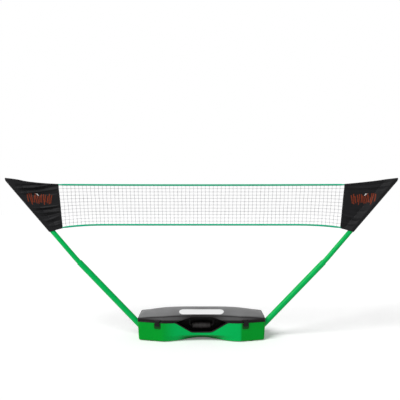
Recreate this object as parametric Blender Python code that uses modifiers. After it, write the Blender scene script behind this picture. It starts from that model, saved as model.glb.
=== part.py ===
"""Badminton net set: a carrying case, two sectioned poles leaning out of it, and the net.

Metres, +Z up, X along the net and the front of the case towards -Y. The origin lies on the
floor under the middle of the set.
"""

import math

import bmesh
import bpy
from mathutils import Matrix, Vector

# Clearance between pieces that touch
GAP = 0.0003

# Case seen from above: it bulges at two vertical edges and is waisted between them
CASE_LENGTH = 0.684
BULGE_INSET = 0.137
BULGE_X = CASE_LENGTH / 2 - BULGE_INSET
BULGE_DEPTH = 0.112
END_DEPTH = 0.075
BASE_WAIST = 0.090
FLOOR_WAIST = 0.047
LID_WAIST = 0.100
BACK_WAIST = 0.085
CORNER_RADIUS = 0.014
WALL = 0.0025

# Case heights
FOOT_HEIGHT = 0.003
FOOT_RADIUS = 0.014
FOOT_TAPER = 0.94
FOOT_INSET = 0.080
FOOT_PLACE = (CASE_LENGTH / 2 - FOOT_INSET, 0.070)
FLOOR_ROUND = 0.006
ARCH_RISE = 0.005
ARCH_HALF = 0.140
LIP_HEIGHT = 0.033
RIM_HEIGHT = 0.100
DRAFT = 0.006
BEAD_RADIUS = 0.0032
BEAD_BEND = 0.006
SEAM = RIM_HEIGHT + GAP + BEAD_RADIUS
LID_RIM = SEAM + BEAD_RADIUS + GAP
BAND_HEIGHT = 0.009
SKIRT_HEIGHT = 0.0245
SKIRT_LEAN = 0.006
CREASE_RISE = 0.009
LEDGE = 0.003
DOME_RISE = 0.0233
CROWN_DROP = 0.0282
CROWN_POWER = 2.4
DOME_POWER = 2.0
SPINE_INSET = 0.042
SPINE_HALF = CASE_LENGTH / 2 - SPINE_INSET

# Handle bay: a six-sided window across the seam, with a tray behind it
WINDOW_LIP_HALF = 0.054
WINDOW_LIP_BAND = 0.012
WINDOW_HALF = 0.143
WINDOW_TOP_HALF = 0.055
WINDOW_TOP_BAND = 0.009
BAY_OVERLAP = 0.0065
BAY_LID_CLEARANCE = 0.0008
BAY_BACK_Y = -0.010
BAY_SETBACK = 0.005
BAY_RIB_X = 0.030
BAY_RIB_DEPTH = 0.012

# Handle: a bail in two ears, with a moulded grip
PIVOT_Y = -0.048
PIVOT_Z = 0.112
HANDLE_WIRE = 0.005
ARM_X = 0.064
ARM_LENGTH = 0.036
GRIP_HALF = 0.050
GRIP_RADIUS = 0.018
GRIP_SHOULDER = 0.004
GRIP_WAVES = 4
GRIP_WAVE = 0.0006
EAR_THICKNESS = 0.005
EAR_RADIUS = 0.008

# Lid hinges at the back
HINGE_INSET = 0.152
HINGE_X = CASE_LENGTH / 2 - HINGE_INSET
HINGE_RADIUS = 0.005
HINGE_AXIS_Y = BULGE_DEPTH - WALL / 2 + BEAD_RADIUS + GAP + HINGE_RADIUS
HINGE_ROOT = 0.0035
HINGE_LEAF = 0.012
HINGE_PIN = 0.0018
HINGE_LID_WIDTH = 0.014
HINGE_BASE_WIDTH = 0.010
HINGE_BORE_PAST = 0.002

# Latches on the outer facets of the front
LATCH_INSET = 0.108
LATCH_X = CASE_LENGTH / 2 - LATCH_INSET
LATCH_WIDTH = 0.025
LATCH_DROP = 0.0285
LATCH_PLATE = 0.0026
LATCH_BARREL = 0.003
LATCH_PIN = 0.0012
LATCH_RISE = 0.0095
LATCH_REACH = 0.0048
LATCH_INNER = 0.0026
LATCH_SHOULDER = 0.006
LATCH_LIP = 0.002
LATCH_RIB = 0.005
LUG_WIDTH = 0.003
KEEPER_WIDTH = 0.038
KEEPER_HEIGHT = 0.030
KEEPER_ARM = 0.005
KEEPER_PLATE = 0.0012
KEEPER_DROP = 0.002
KEEPER_BAR_DROP = 0.010
KEEPER_BAR_HEIGHT = 0.004

# Poles: a lower tube in a slanted socket and a narrower tube pushed into its top
LOWER_RADIUS = 0.016
LOWER_WALL = 0.0027
LOWER_ANGLE = math.radians(45.9)
LOWER_LENGTH = 0.545
UPPER_RADIUS = LOWER_RADIUS - LOWER_WALL - GAP
UPPER_WALL = 0.0022
UPPER_ANGLE = math.radians(49.35)
UPPER_LENGTH = 0.574
SPIGOT = 0.070
ELBOW = 0.020
ENTRY_HEIGHT = 0.070
INSERTION = 0.071
SOCKET_WALL = 0.0022
SOCKET_COLLAR = 0.0035
SOCKET_BELOW = 0.080
SOCKET_ABOVE = 0.060
POLE_HOLE_REACH = 0.030
PLUG_FLANGE = 0.003
PLUG_LENGTH = 0.014
PLUG_TAPER = 0.94
PLUG_EDGE = 0.0026

# Fabric end panels
SLEEVE_CLOTH = 0.002
POCKET_WALL = 0.0016
SEAM_ALLOWANCE = 0.0165
TIP_ALLOWANCE = 0.0085
TIP_FABRIC = 0.0157
SLEEVE_TOP_WIDTH = 0.2736
EDGE_LEAN = 0.0205
HEM_ANGLE = math.radians(16.7)
HEM_MARGIN = 0.0035
HEM_OVERLAP = 0.0005
POCKET_BELOW = 0.060
FOLDS = 3.5
FOLD_HEIGHT = {-1: 0.0030, 1: 0.0016}

# Net between the panels
NET_DROP = 0.0252
NET_HEIGHT = 0.220
NET_CELLS = (36, 5)
NET_STRAND = 0.002
NET_SEAT = 0.0012
CORD_RADIUS = 0.0035
CORD_END_GAP = 0.0008
TOP_SAG = 0.002
END_DIP = 0.0154
DIP_START = 0.500
DIP_POWER = 2.5

# Plate on the lid and clips on the floor
LABEL_HALF_LENGTH = 0.118
LABEL_RADIUS = 0.0235
LABEL_CENTRE_Y = -0.0625
LABEL_PLATE = 0.0008
LABEL_SEAT = 0.0005
CLIP_INSET = 0.172
CLIP_X = CASE_LENGTH / 2 - CLIP_INSET
CLIP_ROWS = {"front": 0.030, "back": 0.074}
CLIP_WIDTH = 0.012
CLIP_WALL = 0.003
CLIP_FOOT_HALF = 0.009
CLIP_FOOT_HEIGHT = 0.003
CLIP_MOUTH = math.radians(50)

# Stations of the curved surfaces
INNER_STATIONS = 4
OUTER_STATIONS = 2
CORNER_STEPS = 3
DOME_STEPS = (1.0, 0.88, 0.7, 0.48, 0.24, 0.0)
ROUND_SIDES = 20
SLEEVE_CELLS = (12, 18)

FACET_SLOPE = (BULGE_DEPTH - END_DEPTH) / (CASE_LENGTH / 2 - BULGE_X)
FACET_LEAN = math.atan(FACET_SLOPE)

# Front views lie in X and Z, side profiles in Y and Z
FRONT_VIEW = Matrix.Rotation(math.pi / 2, 4, "X")
SIDE_VIEW = Matrix(((0, 0, 1, 0), (1, 0, 0, 0), (0, 1, 0, 0), (0, 0, 0, 1)))
SIDES = {"left": -1, "right": 1}


def clear_scene():
    """Remove the objects of the open scene."""
    for obj in list(bpy.data.objects):
        bpy.data.objects.remove(obj, do_unlink=True)


def finish(name, colour, roughness, metallic=0.0):
    """Material with one colour, roughness and metallic value."""
    material = bpy.data.materials.new(name)
    material.use_nodes = True
    shader = material.node_tree.nodes["Principled BSDF"]
    shader.inputs["Base Color"].default_value = (*colour, 1)
    shader.inputs["Roughness"].default_value = roughness
    shader.inputs["Metallic"].default_value = metallic
    return material


def carry(obj, parent):
    """Parent an object that is placed in the set's own coordinates, wherever the parent stands."""
    obj.parent = parent
    if parent.parent is not None:
        obj.matrix_parent_inverse = Matrix.Translation(parent.location).inverted()


def add_object(name, data, material, parent, collection):
    """Object in a collection, with its material and its parent."""
    obj = bpy.data.objects.new(name, data)
    collection.objects.link(obj)
    carry(obj, parent)
    if material is not None:
        data.materials.append(material)
    return obj


def mesh_of(name, bm, smooth=True):
    """Mesh from a bmesh, shaded smooth below 35 degrees."""
    mesh = bpy.data.meshes.new(name)
    bm.to_mesh(mesh)
    bm.free()
    if smooth:
        mesh.shade_smooth()
        mesh.set_sharp_from_angle(angle=math.radians(35))
    return mesh


def pivot(name, place, parent, collection):
    """Empty on a joint's axis, the parent of what moves about it."""
    empty = bpy.data.objects.new(name, None)
    empty.empty_display_size = 0.02
    empty.location = place
    carry(empty, parent)
    collection.objects.link(empty)
    return empty


def add_cylinder(bm, start, end, radius, top_radius=None, sides=ROUND_SIDES):
    """Closed cylinder or cone between two points."""
    axis = end - start
    turn = axis.to_track_quat("Z", "Y").to_matrix().to_4x4()
    bmesh.ops.create_cone(
        bm,
        cap_ends=True,
        segments=sides,
        radius1=radius,
        radius2=radius if top_radius is None else top_radius,
        depth=axis.length,
        matrix=Matrix.Translation((start + end) / 2) @ turn,
    )


def add_box(bm, low, high, frame=Matrix.Identity(4)):
    """Closed box between two corners, in a frame."""
    size = Matrix.Diagonal((*(Vector(high) - Vector(low)), 1))
    middle = Matrix.Translation((Vector(low) + Vector(high)) / 2)
    bmesh.ops.create_cube(bm, size=1, matrix=frame @ middle @ size)


def trim(bm, place, normal):
    """Cut a closed body off at a plane, on the side that the normal points to."""
    everything = bm.verts[:] + bm.edges[:] + bm.faces[:]
    bmesh.ops.bisect_plane(bm, geom=everything, plane_co=place, plane_no=normal, clear_outer=True)
    bmesh.ops.holes_fill(bm, edges=bm.edges)
    bmesh.ops.recalc_face_normals(bm, faces=bm.faces)


def profile_mesh(name, profile, closed):
    """Edges through a profile of radius and height."""
    count = len(profile)
    edges = [(i, (i + 1) % count) for i in range(count if closed else count - 1)]
    mesh = bpy.data.meshes.new(name)
    mesh.from_pydata([(radius, 0, height) for radius, height in profile], edges, [])
    return mesh


def turn_profile(obj, seat, axis, steps):
    """Turn an object's profile about an axis through its seat."""
    obj.matrix_basis = Matrix.Translation(seat) @ axis.to_track_quat("Z", "Y").to_matrix().to_4x4()
    modifier = obj.modifiers.new("turned", "SCREW")
    modifier.steps = steps
    modifier.render_steps = steps
    modifier.use_merge_vertices = True
    modifier.merge_threshold = 0.00001


def curve_mesh(curve):
    """Mesh of a curve with its caps welded on."""
    guide = bpy.data.objects.new(curve.name, curve)
    bpy.context.scene.collection.objects.link(guide)
    graph = bpy.context.evaluated_depsgraph_get()
    mesh = bpy.data.meshes.new_from_object(guide.evaluated_get(graph))
    bpy.data.objects.remove(guide, do_unlink=True)
    bm = bmesh.new()
    bm.from_mesh(mesh)
    bmesh.ops.remove_doubles(bm, verts=bm.verts, dist=0.000001)
    bm.to_mesh(mesh)
    bm.free()
    return mesh


def bar_curve(name, points, radius, detail=2, caps=True, closed=False):
    """Round bar along a path of points."""
    curve = bpy.data.curves.new(name, "CURVE")
    curve.dimensions = "3D"
    curve.bevel_depth = radius
    curve.bevel_resolution = detail
    curve.use_fill_caps = caps
    spline = curve.splines.new("POLY")
    spline.points.add(len(points) - 1)
    for knot, point in zip(spline.points, points):
        knot.co = (*point, 1)
    spline.use_cyclic_u = closed
    spline.use_smooth = True
    return curve


def plate_mesh(name, outlines, thickness, frame, smooth=False):
    """Flat outline, with any holes as further outlines, thickened and set in a frame."""
    curve = bpy.data.curves.new(name, "CURVE")
    curve.dimensions = "2D"
    curve.fill_mode = "BOTH"
    curve.extrude = thickness / 2
    for outline in outlines:
        spline = curve.splines.new("POLY")
        spline.points.add(len(outline) - 1)
        for knot, point in zip(spline.points, outline):
            knot.co = (point[0], point[1], 0, 1)
        spline.use_cyclic_u = True
    mesh = curve_mesh(curve)
    mesh.transform(frame)
    if smooth:
        mesh.shade_smooth()
        mesh.set_sharp_from_angle(angle=math.radians(35))
    return mesh


def arc(centre, radius, start, end, steps):
    """Points of an arc between two angles."""
    points = []
    for step in range(steps + 1):
        angle = start + (end - start) * step / steps
        points.append((centre[0] + radius * math.cos(angle), centre[1] + radius * math.sin(angle)))
    return points


def circle(centre, radius, sides=12):
    """Points of a full circle."""
    return arc(centre, radius, 0, 2 * math.pi * (1 - 1 / sides), sides - 1)


def rounded_path(corners, radii, steps=3):
    """Open path through corners, each inner corner rounded by a curve tangent to its sides."""
    points = [corners[0]]
    for before, corner, after, radius in zip(corners, corners[1:], corners[2:], radii):
        start = corner + (before - corner).normalized() * radius
        end = corner + (after - corner).normalized() * radius
        for step in range(steps + 1):
            t = step / steps
            points.append(start * (1 - t) ** 2 + corner * 2 * t * (1 - t) + end * t**2)
    points.append(corners[-1])
    return points


def boolean(obj, operation, operand):
    """Boolean modifier with the exact solver."""
    modifier = obj.modifiers.new(operation.lower(), "BOOLEAN")
    modifier.operation = operation
    modifier.solver = "EXACT"
    modifier.object = operand
    return modifier


def thicken(obj, thickness):
    """Wall built inwards from an open surface."""
    modifier = obj.modifiers.new("wall", "SOLIDIFY")
    modifier.thickness = thickness
    modifier.offset = -1
    modifier.use_even_offset = True
    return modifier


def shifted_edges(outline, distances):
    """Anticlockwise outline with each edge moved outwards by its own distance."""
    lines = []
    for start, end, distance in zip(outline, outline[1:] + outline[:1], distances):
        along = Vector(end) - Vector(start)
        normal = Vector((along.y, -along.x)).normalized()
        lines.append((Vector(start) + normal * distance, along))
    corners = []
    for (p, a), (q, b) in zip(lines[-1:] + lines[:-1], lines):
        t = (q - p).cross(b) / a.cross(b)
        corners.append(tuple(p + a * t))
    return corners


def wall_depth(x, waist, inset=0.0):
    """Distance of the front or back wall from the middle plane of the case."""
    x = abs(x)
    if x < BULGE_X:
        rise = 0.5 - 0.5 * math.cos(math.pi * x / BULGE_X)
        return waist + (BULGE_DEPTH - waist) * rise - inset
    return BULGE_DEPTH - FACET_SLOPE * (x - BULGE_X) - inset


def quarter_outline(waist, inset):
    """Case outline from the middle plane to the end wall, as x and depth."""
    radius = CORNER_RADIUS
    centre_x = CASE_LENGTH / 2 - inset - radius
    centre_y = wall_depth(centre_x, waist, inset) - radius / math.cos(FACET_LEAN)
    arc_x = centre_x + radius * math.sin(FACET_LEAN)
    stations = [BULGE_X * step / INNER_STATIONS for step in range(INNER_STATIONS + 1)]
    for step in range(1, OUTER_STATIONS + 1):
        stations.append(BULGE_X + (arc_x - BULGE_X) * step / OUTER_STATIONS)
    points = [(x, wall_depth(x, waist, inset)) for x in stations]
    corner = arc((centre_x, centre_y), radius, math.pi / 2 - FACET_LEAN, 0, CORNER_STEPS)
    return points + corner[1:]


def outline(front_waist, back_waist, inset=0.0):
    """Case outline from above, anticlockwise from the middle of the front."""
    front = [(x, -y) for x, y in quarter_outline(front_waist, inset)]
    back = [(x, y) for x, y in quarter_outline(back_waist, inset)]
    right = front + back[::-1]
    left = [(-x, y) for x, y in right[-2:0:-1]]
    return right + left


def ring(front_waist, back_waist, inset, height):
    """Case outline in space, where the height is a function of x."""
    return [Vector((x, y, height(x))) for x, y in outline(front_waist, back_waist, inset)]


def arched(height):
    """Height of the underside, which rises under the middle of the case."""

    def at(x):
        if abs(x) >= ARCH_HALF:
            return height
        return height + ARCH_RISE * math.cos(math.pi * x / ARCH_HALF / 2) ** 2

    return at


def crease(x):
    """Height of the crease between the lid's skirt and its top."""
    return LID_RIM + SKIRT_HEIGHT + CREASE_RISE * (1 - (2 * x / CASE_LENGTH) ** 2)


def crown(x):
    """Height of the lid along its middle line."""
    middle = LID_RIM + SKIRT_HEIGHT + CREASE_RISE + DOME_RISE
    return middle - CROWN_DROP * abs(2 * x / CASE_LENGTH) ** CROWN_POWER


def base_inset(height):
    """How far the base's wall leans in at a height, by its draft."""
    return DRAFT * (RIM_HEIGHT - height) / RIM_HEIGHT


def loft(bm, rings):
    """Side faces through rings of points, from the lowest up."""
    rows = [[bm.verts.new(point) for point in points] for points in rings]
    count = len(rows[0])
    for low, high in zip(rows, rows[1:]):
        for i in range(count):
            j = (i + 1) % count
            bm.faces.new((low[i], low[j], high[j], high[i]))
    return rows


def close_ring(bm, row, upwards):
    """Strip of faces between the front and the back of a ring."""
    count = len(row)
    half = count // 2
    for i in range(half // 2):
        right = [row[i], row[i + 1], row[half - i - 1], row[half - i]]
        left = [row[count - i - 1], row[(count - i) % count], row[half + i], row[half + i + 1]]
        for face in (right, left):
            bm.faces.new(face if upwards else face[::-1])


def base_surface():
    """Open tub of the base: floor, rounded foot, lip and wall up to the rim."""
    bm = bmesh.new()
    low = FOOT_HEIGHT
    bend = 0.3 * FLOOR_ROUND
    rows = loft(
        bm,
        [
            ring(FLOOR_WAIST, BACK_WAIST, base_inset(low) + FLOOR_ROUND, arched(low)),
            ring(FLOOR_WAIST, BACK_WAIST, base_inset(low) + bend, arched(low + bend)),
            ring(FLOOR_WAIST, BACK_WAIST, base_inset(low + FLOOR_ROUND), arched(low + FLOOR_ROUND)),
            ring(BASE_WAIST, BACK_WAIST, base_inset(LIP_HEIGHT), lambda x: LIP_HEIGHT),
            ring(BASE_WAIST, BACK_WAIST, 0, lambda x: RIM_HEIGHT),
        ],
    )
    close_ring(bm, rows[0], upwards=False)
    return bm


def lid_surface():
    """Open shell of the lid: band, leaning skirt, ledge at the crease and domed top."""
    bm = bmesh.new()
    ledge = ring(LID_WAIST, BACK_WAIST, SKIRT_LEAN + LEDGE, crease)
    rings = [
        ring(LID_WAIST, BACK_WAIST, 0, lambda x: LID_RIM),
        ring(LID_WAIST, BACK_WAIST, 0, lambda x: LID_RIM + BAND_HEIGHT),
        ring(LID_WAIST, BACK_WAIST, SKIRT_LEAN, crease),
    ]
    for t in DOME_STEPS:
        points = []
        for edge in ledge:
            x = max(-SPINE_HALF, min(SPINE_HALF, edge.x))
            rise = (crown(x) - edge.z) * (1 - t**DOME_POWER)
            points.append(Vector((x + (edge.x - x) * t, edge.y * t, edge.z + rise)))
        if t == 0.0:
            points = [Vector((p.x, 0, crown(p.x))) for p in points]
        rings.append(points)
    loft(bm, rings)
    bmesh.ops.remove_doubles(bm, verts=bm.verts, dist=0.00001)
    return bm


def dome_height(x, y):
    """Height of the lid's top at a point between the ends of its spine."""
    t = min(1, abs(y) / wall_depth(x, LID_WAIST, SKIRT_LEAN + LEDGE))
    return crease(x) + (crown(x) - crease(x)) * (1 - t**DOME_POWER)


def window_outline():
    """Six-sided window of the handle bay, anticlockwise in x and z."""
    lip = LIP_HEIGHT + WINDOW_LIP_BAND
    top = crease(0) - WINDOW_TOP_BAND
    return [
        (-WINDOW_LIP_HALF, lip),
        (WINDOW_LIP_HALF, lip),
        (WINDOW_HALF, SEAM),
        (WINDOW_TOP_HALF, top),
        (-WINDOW_TOP_HALF, top),
        (-WINDOW_HALF, SEAM),
    ]


def pole_direction(side, angle):
    """Unit vector up a pole that leans out at an angle from the floor."""
    return Vector((side * math.cos(angle), 0, math.sin(angle)))


def pole_entry(side):
    """Where the pole's axis passes the end wall."""
    return Vector((side * CASE_LENGTH / 2, 0, ENTRY_HEIGHT))


def pole_foot(side):
    """Lower end of the pole in its socket."""
    return pole_entry(side) - pole_direction(side, LOWER_ANGLE) * INSERTION


def pole_joint(side):
    """Upper end of the lower tube."""
    return pole_foot(side) + pole_direction(side, LOWER_ANGLE) * LOWER_LENGTH


def pole_elbow(side):
    """Point above the joint where the pole bends to its upper slope."""
    return pole_joint(side) + pole_direction(side, LOWER_ANGLE) * ELBOW


def pole_tip(side):
    """Upper end of the upper tube."""
    return pole_elbow(side) + pole_direction(side, UPPER_ANGLE) * UPPER_LENGTH


def latch_frame(side):
    """Frame at the seam on a front facet: x along it, -y out of it, z up the base's wall."""
    facing = Matrix.Rotation(side * FACET_LEAN, 4, "Z")
    leaning = Matrix.Rotation(math.atan(DRAFT / RIM_HEIGHT), 4, "X")
    place = (side * LATCH_X, -wall_depth(LATCH_X, LID_WAIST), SEAM)
    return Matrix.Translation(place) @ facing @ leaning


def origin_shift():
    """Offset that puts the origin midway between the latch lugs and the hinge knuckles."""
    lug = Vector((-LATCH_WIDTH / 2 - GAP - LUG_WIDTH, -LATCH_REACH - LATCH_BARREL, LATCH_RISE))
    front = (latch_frame(1) @ lug).y
    return Vector((0, -(front + HINGE_AXIS_Y + HINGE_RADIUS) / 2, 0))


def net_top_height():
    """Height of the top cord's middle line at its ends."""
    return pole_tip(1).z - NET_DROP


def net_edge_x(z):
    """Inner edge of the fabric panel at a height."""
    top_x = pole_tip(1).x - SLEEVE_TOP_WIDTH
    share = (net_top_height() - z) / (NET_HEIGHT + END_DIP)
    return top_x - EDGE_LEAN * share


def bottom_cord_height(x):
    """Height of the bottom cord, which dips towards its ends."""
    height = net_top_height() - NET_HEIGHT
    past = max(0.0, abs(x) - DIP_START) / (net_edge_x(height) - DIP_START)
    return height - END_DIP * min(past, 1.0) ** DIP_POWER


def top_cord_height(x):
    """Height of the top cord, which sags a little."""
    return net_top_height() - TOP_SAG * (1 - (x / net_edge_x(net_top_height())) ** 2)


class NetSet:
    """The set's collections, materials and objects."""

    def __init__(self):
        self.parts = bpy.data.collections.new("badminton_net_set")
        self.cutters = bpy.data.collections.new("cutters")
        for collection in (self.parts, self.cutters):
            bpy.context.scene.collection.children.link(collection)
        self.root = bpy.data.objects.new("set_origin", None)
        self.root.location = origin_shift()
        self.parts.objects.link(self.root)
        self.green = finish("green_plastic", (0.0, 0.36, 0.06), 0.38)
        self.pole_green = finish("green_tube", (0.0, 0.40, 0.08), 0.45)
        self.black = finish("black_plastic", (0.012, 0.012, 0.013), 0.42)
        self.grey = finish("lid_plastic", (0.10, 0.10, 0.105), 0.36)
        self.white = finish("white_plate", (0.82, 0.82, 0.82), 0.40)
        self.rubber = finish("black_rubber", (0.010, 0.010, 0.010), 0.85)
        self.steel = finish("steel", (0.55, 0.55, 0.56), 0.30, 1.0)
        self.fabric = finish("black_fabric", (0.013, 0.013, 0.015), 0.90)
        self.mesh_white = finish("net_strand", (0.66, 0.67, 0.68), 0.70)
        self.cord_green = finish("green_cord", (0.02, 0.28, 0.14), 0.80)

    def add(self, name, data, material, parent=None):
        """One sub-part of the set."""
        return add_object(name, data, material, parent or self.root, self.parts)

    def cutter(self, name, data):
        """Guide body that cuts or completes a sub-part."""
        guide = add_object(name, data, None, self.root, self.cutters)
        guide.hide_render = True
        guide.display_type = "WIRE"
        return guide


def bay_prism(name, shape, front, back):
    """Six-sided prism of the bay between two depths."""
    frame = Matrix.Translation((0, (front + back) / 2, 0)) @ FRONT_VIEW
    return plate_mesh(name, [shape], back - front, frame)


def window_cutter(kit):
    """Prism through both front walls."""
    prism = bay_prism("window_cutter", window_outline(), -BULGE_DEPTH - 2 * WALL, PIVOT_Y)
    return kit.cutter("window_cutter", prism)


def joined_mesh(name, meshes):
    """Several separate bodies as one mesh, for a cutter."""
    bm = bmesh.new()
    for mesh in meshes:
        bm.from_mesh(mesh)
    return mesh_of(name, bm, smooth=False)


def hinge_knuckles(kit, name, spans, leaf, around):
    """Knuckles on the hinge axis with leaves into the wall, for one of the two shells."""
    centre = (HINGE_AXIS_Y, SEAM)
    root_y = BULGE_DEPTH - HINGE_ROOT
    barrel = arc(centre, HINGE_RADIUS, around[0], around[1], 9)
    outline = [(root_y, leaf[0])] + barrel + [(root_y, leaf[1])]
    meshes = []
    for side in SIDES.values():
        for start, end in spans:
            middle = side * HINGE_X + (start + end) / 2
            frame = Matrix.Translation((middle, 0, 0)) @ SIDE_VIEW
            meshes.append(plate_mesh(name, [outline], end - start, frame))
    return kit.cutter(name, joined_mesh(name, meshes))


def hinge_bore(kit):
    """Bores for both hinge pins."""
    bm = bmesh.new()
    reach = Vector((HINGE_LID_WIDTH / 2 + HINGE_BASE_WIDTH + HINGE_BORE_PAST, 0, 0))
    for side in SIDES.values():
        centre = Vector((side * HINGE_X, HINGE_AXIS_Y, SEAM))
        add_cylinder(bm, centre - reach, centre + reach, HINGE_PIN + GAP, sides=12)
    return kit.cutter("hinge_bore", mesh_of("hinge_bore", bm, smooth=False))


def make_base(kit, window, bores):
    """Base shell with its bay window, pole holes and hinge knuckles."""
    base = kit.add("base_shell", mesh_of("base_shell", base_surface()), kit.green)
    thicken(base, WALL)
    boolean(base, "DIFFERENCE", window)
    holes = bmesh.new()
    for side in SIDES.values():
        reach = pole_direction(side, LOWER_ANGLE) * POLE_HOLE_REACH
        middle = pole_entry(side)
        add_cylinder(holes, middle - reach, middle + reach, socket_radius() + GAP, sides=24)
    boolean(base, "DIFFERENCE", kit.cutter("pole_holes", mesh_of("pole_holes", holes, smooth=False)))
    inner = HINGE_LID_WIDTH / 2 + GAP
    spans = [(-inner - HINGE_BASE_WIDTH, -inner), (inner, inner + HINGE_BASE_WIDTH)]
    leaf = (RIM_HEIGHT - HINGE_LEAF, RIM_HEIGHT - GAP)
    around = (math.radians(-30), math.radians(230))
    boolean(base, "UNION", hinge_knuckles(kit, "base_knuckles", spans, leaf, around))
    boolean(base, "DIFFERENCE", bores)


def make_lid(kit, window, bores, joint):
    """Lid shell with its share of the window, hinge knuckles and latch lugs."""
    lid = kit.add("lid_shell", mesh_of("lid_shell", lid_surface()), kit.grey, joint)
    thicken(lid, WALL)
    boolean(lid, "DIFFERENCE", window)
    half = HINGE_LID_WIDTH / 2
    leaf = (LID_RIM + GAP, LID_RIM + HINGE_LEAF)
    around = (math.radians(130), math.radians(390))
    boolean(lid, "UNION", hinge_knuckles(kit, "lid_knuckles", [(-half, half)], leaf, around))
    boolean(lid, "DIFFERENCE", bores)
    centre = (-LATCH_REACH, LATCH_RISE)
    far_end = arc(centre, LATCH_BARREL, math.pi * 1.5, math.pi / 2, 6)
    root = WALL / 2
    outline = [(root, LATCH_RISE - LATCH_BARREL)] + far_end + [(root, LATCH_RISE + LATCH_BARREL)]
    hole = circle(centre, LATCH_PIN + GAP, 10)
    lugs = []
    for side in SIDES.values():
        for end in (-1, 1):
            middle = Matrix.Translation((end * (LATCH_WIDTH + LUG_WIDTH + 2 * GAP) / 2, 0, 0))
            frame = latch_frame(side) @ middle @ SIDE_VIEW
            lugs.append(plate_mesh("latch_lug", [outline, hole], LUG_WIDTH, frame))
    boolean(lid, "UNION", kit.cutter("latch_lugs", joined_mesh("latch_lugs", lugs)))


def make_hinge_pins(kit):
    """Steel pins through the hinge knuckles, carried by the base."""
    reach = Vector((HINGE_LID_WIDTH / 2 + GAP + HINGE_BASE_WIDTH, 0, 0))
    for name, side in SIDES.items():
        centre = Vector((side * HINGE_X, HINGE_AXIS_Y, SEAM))
        bm = bmesh.new()
        add_cylinder(bm, centre - reach, centre + reach, HINGE_PIN, sides=12)
        kit.add(f"hinge_pin_{name}", mesh_of(f"hinge_pin_{name}", bm), kit.steel)


def make_rim_trim(kit):
    """Black bead on the rim, which dips along the lower edges of the bay window."""
    middle = WALL / 2
    shift = -BEAD_RADIUS - GAP
    edges = shifted_edges(window_outline(), [shift, shift, 0, 0, 0, shift])
    slope = (edges[2][1] - edges[1][1]) / (edges[2][0] - edges[1][0])
    turn_x = edges[1][0] + (SEAM - edges[1][1]) / slope
    path = [Vector((-turn_x, 0, SEAM)), Vector((-edges[1][0], 0, edges[1][1]))]
    path += [Vector((edges[1][0], 0, edges[1][1])), Vector((turn_x, 0, SEAM))]
    halfway = [(path[0] + path[1]) / 2, (path[2] + path[3]) / 2]
    dipped = sorted(rounded_path(path, [BEAD_BEND] * 2, steps=2) + halfway, key=lambda point: point.x)
    for point in dipped:
        waist = BASE_WAIST
        point.y = -wall_depth(point.x, waist, middle + base_inset(min(point.z, RIM_HEIGHT)))
    rest = ring(BASE_WAIST, BACK_WAIST, middle, lambda x: SEAM)
    reach = dipped[-1].x + BEAD_BEND
    right = [p for p in rest if p.x > reach and p.y < 0]
    back = [p for p in rest if p.y >= 0]
    left = [p for p in rest if p.x < -reach and p.y < 0]
    points = dipped + right + back + left
    bead = bar_curve("rim_trim", points, BEAD_RADIUS, detail=1, caps=False, closed=True)
    kit.add("rim_trim", bead, kit.black)


def make_feet(kit):
    """Four rubber pads under the floor."""
    for end, side in SIDES.items():
        for row, way in {"front": -1, "back": 1}.items():
            name = f"foot_{row}_{end}"
            bm = bmesh.new()
            low = Vector((side * FOOT_PLACE[0], way * FOOT_PLACE[1], 0))
            high = low + Vector((0, 0, FOOT_HEIGHT - GAP))
            add_cylinder(bm, low, high, FOOT_RADIUS, FOOT_RADIUS * FOOT_TAPER)
            kit.add(name, mesh_of(name, bm), kit.rubber)


def make_bay_liner(kit):
    """Black tray behind the window, cut to the inside of the two shells, on two ribs."""
    under = BAY_OVERLAP
    above = -BAY_LID_CLEARANCE
    shape = shifted_edges(window_outline(), [under, under, above, above, above, under])
    inner = shifted_edges(shape, [-WALL] * len(shape))
    outside = bay_prism("handle_bay_liner", shape, -BULGE_DEPTH, BAY_BACK_Y)
    liner = kit.add("handle_bay_liner", outside, kit.black)
    hollow = bay_prism("bay_hollow", inner, -BULGE_DEPTH - WALL, BAY_BACK_Y - WALL)
    boolean(liner, "DIFFERENCE", kit.cutter("bay_hollow", hollow))
    room = bmesh.new()
    lip = base_inset(LIP_HEIGHT) + BAY_SETBACK
    rows = loft(
        room,
        [
            ring(BASE_WAIST, BACK_WAIST, lip, lambda x: LIP_HEIGHT),
            ring(BASE_WAIST, BACK_WAIST, BAY_SETBACK, lambda x: RIM_HEIGHT),
            ring(BASE_WAIST, BACK_WAIST, BAY_SETBACK, lambda x: LID_RIM),
            ring(LID_WAIST, BACK_WAIST, BAY_SETBACK + SKIRT_LEAN, crease),
        ],
    )
    close_ring(room, rows[0], upwards=False)
    close_ring(room, rows[-1], upwards=True)
    boolean(liner, "INTERSECT", kit.cutter("case_room", mesh_of("case_room", room, smooth=False)))
    ribs = bmesh.new()
    foot = FOOT_HEIGHT + ARCH_RISE + WALL + GAP
    front = BAY_BACK_Y - BAY_RIB_DEPTH
    for side in SIDES.values():
        x0, x1 = sorted((side * BAY_RIB_X, side * (BAY_RIB_X + WALL)))
        add_box(ribs, (x0, front, foot), (x1, BAY_BACK_Y - GAP, shape[0][1] + WALL / 2))
    boolean(liner, "UNION", kit.cutter("bay_ribs", mesh_of("bay_ribs", ribs, smooth=False)))


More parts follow.
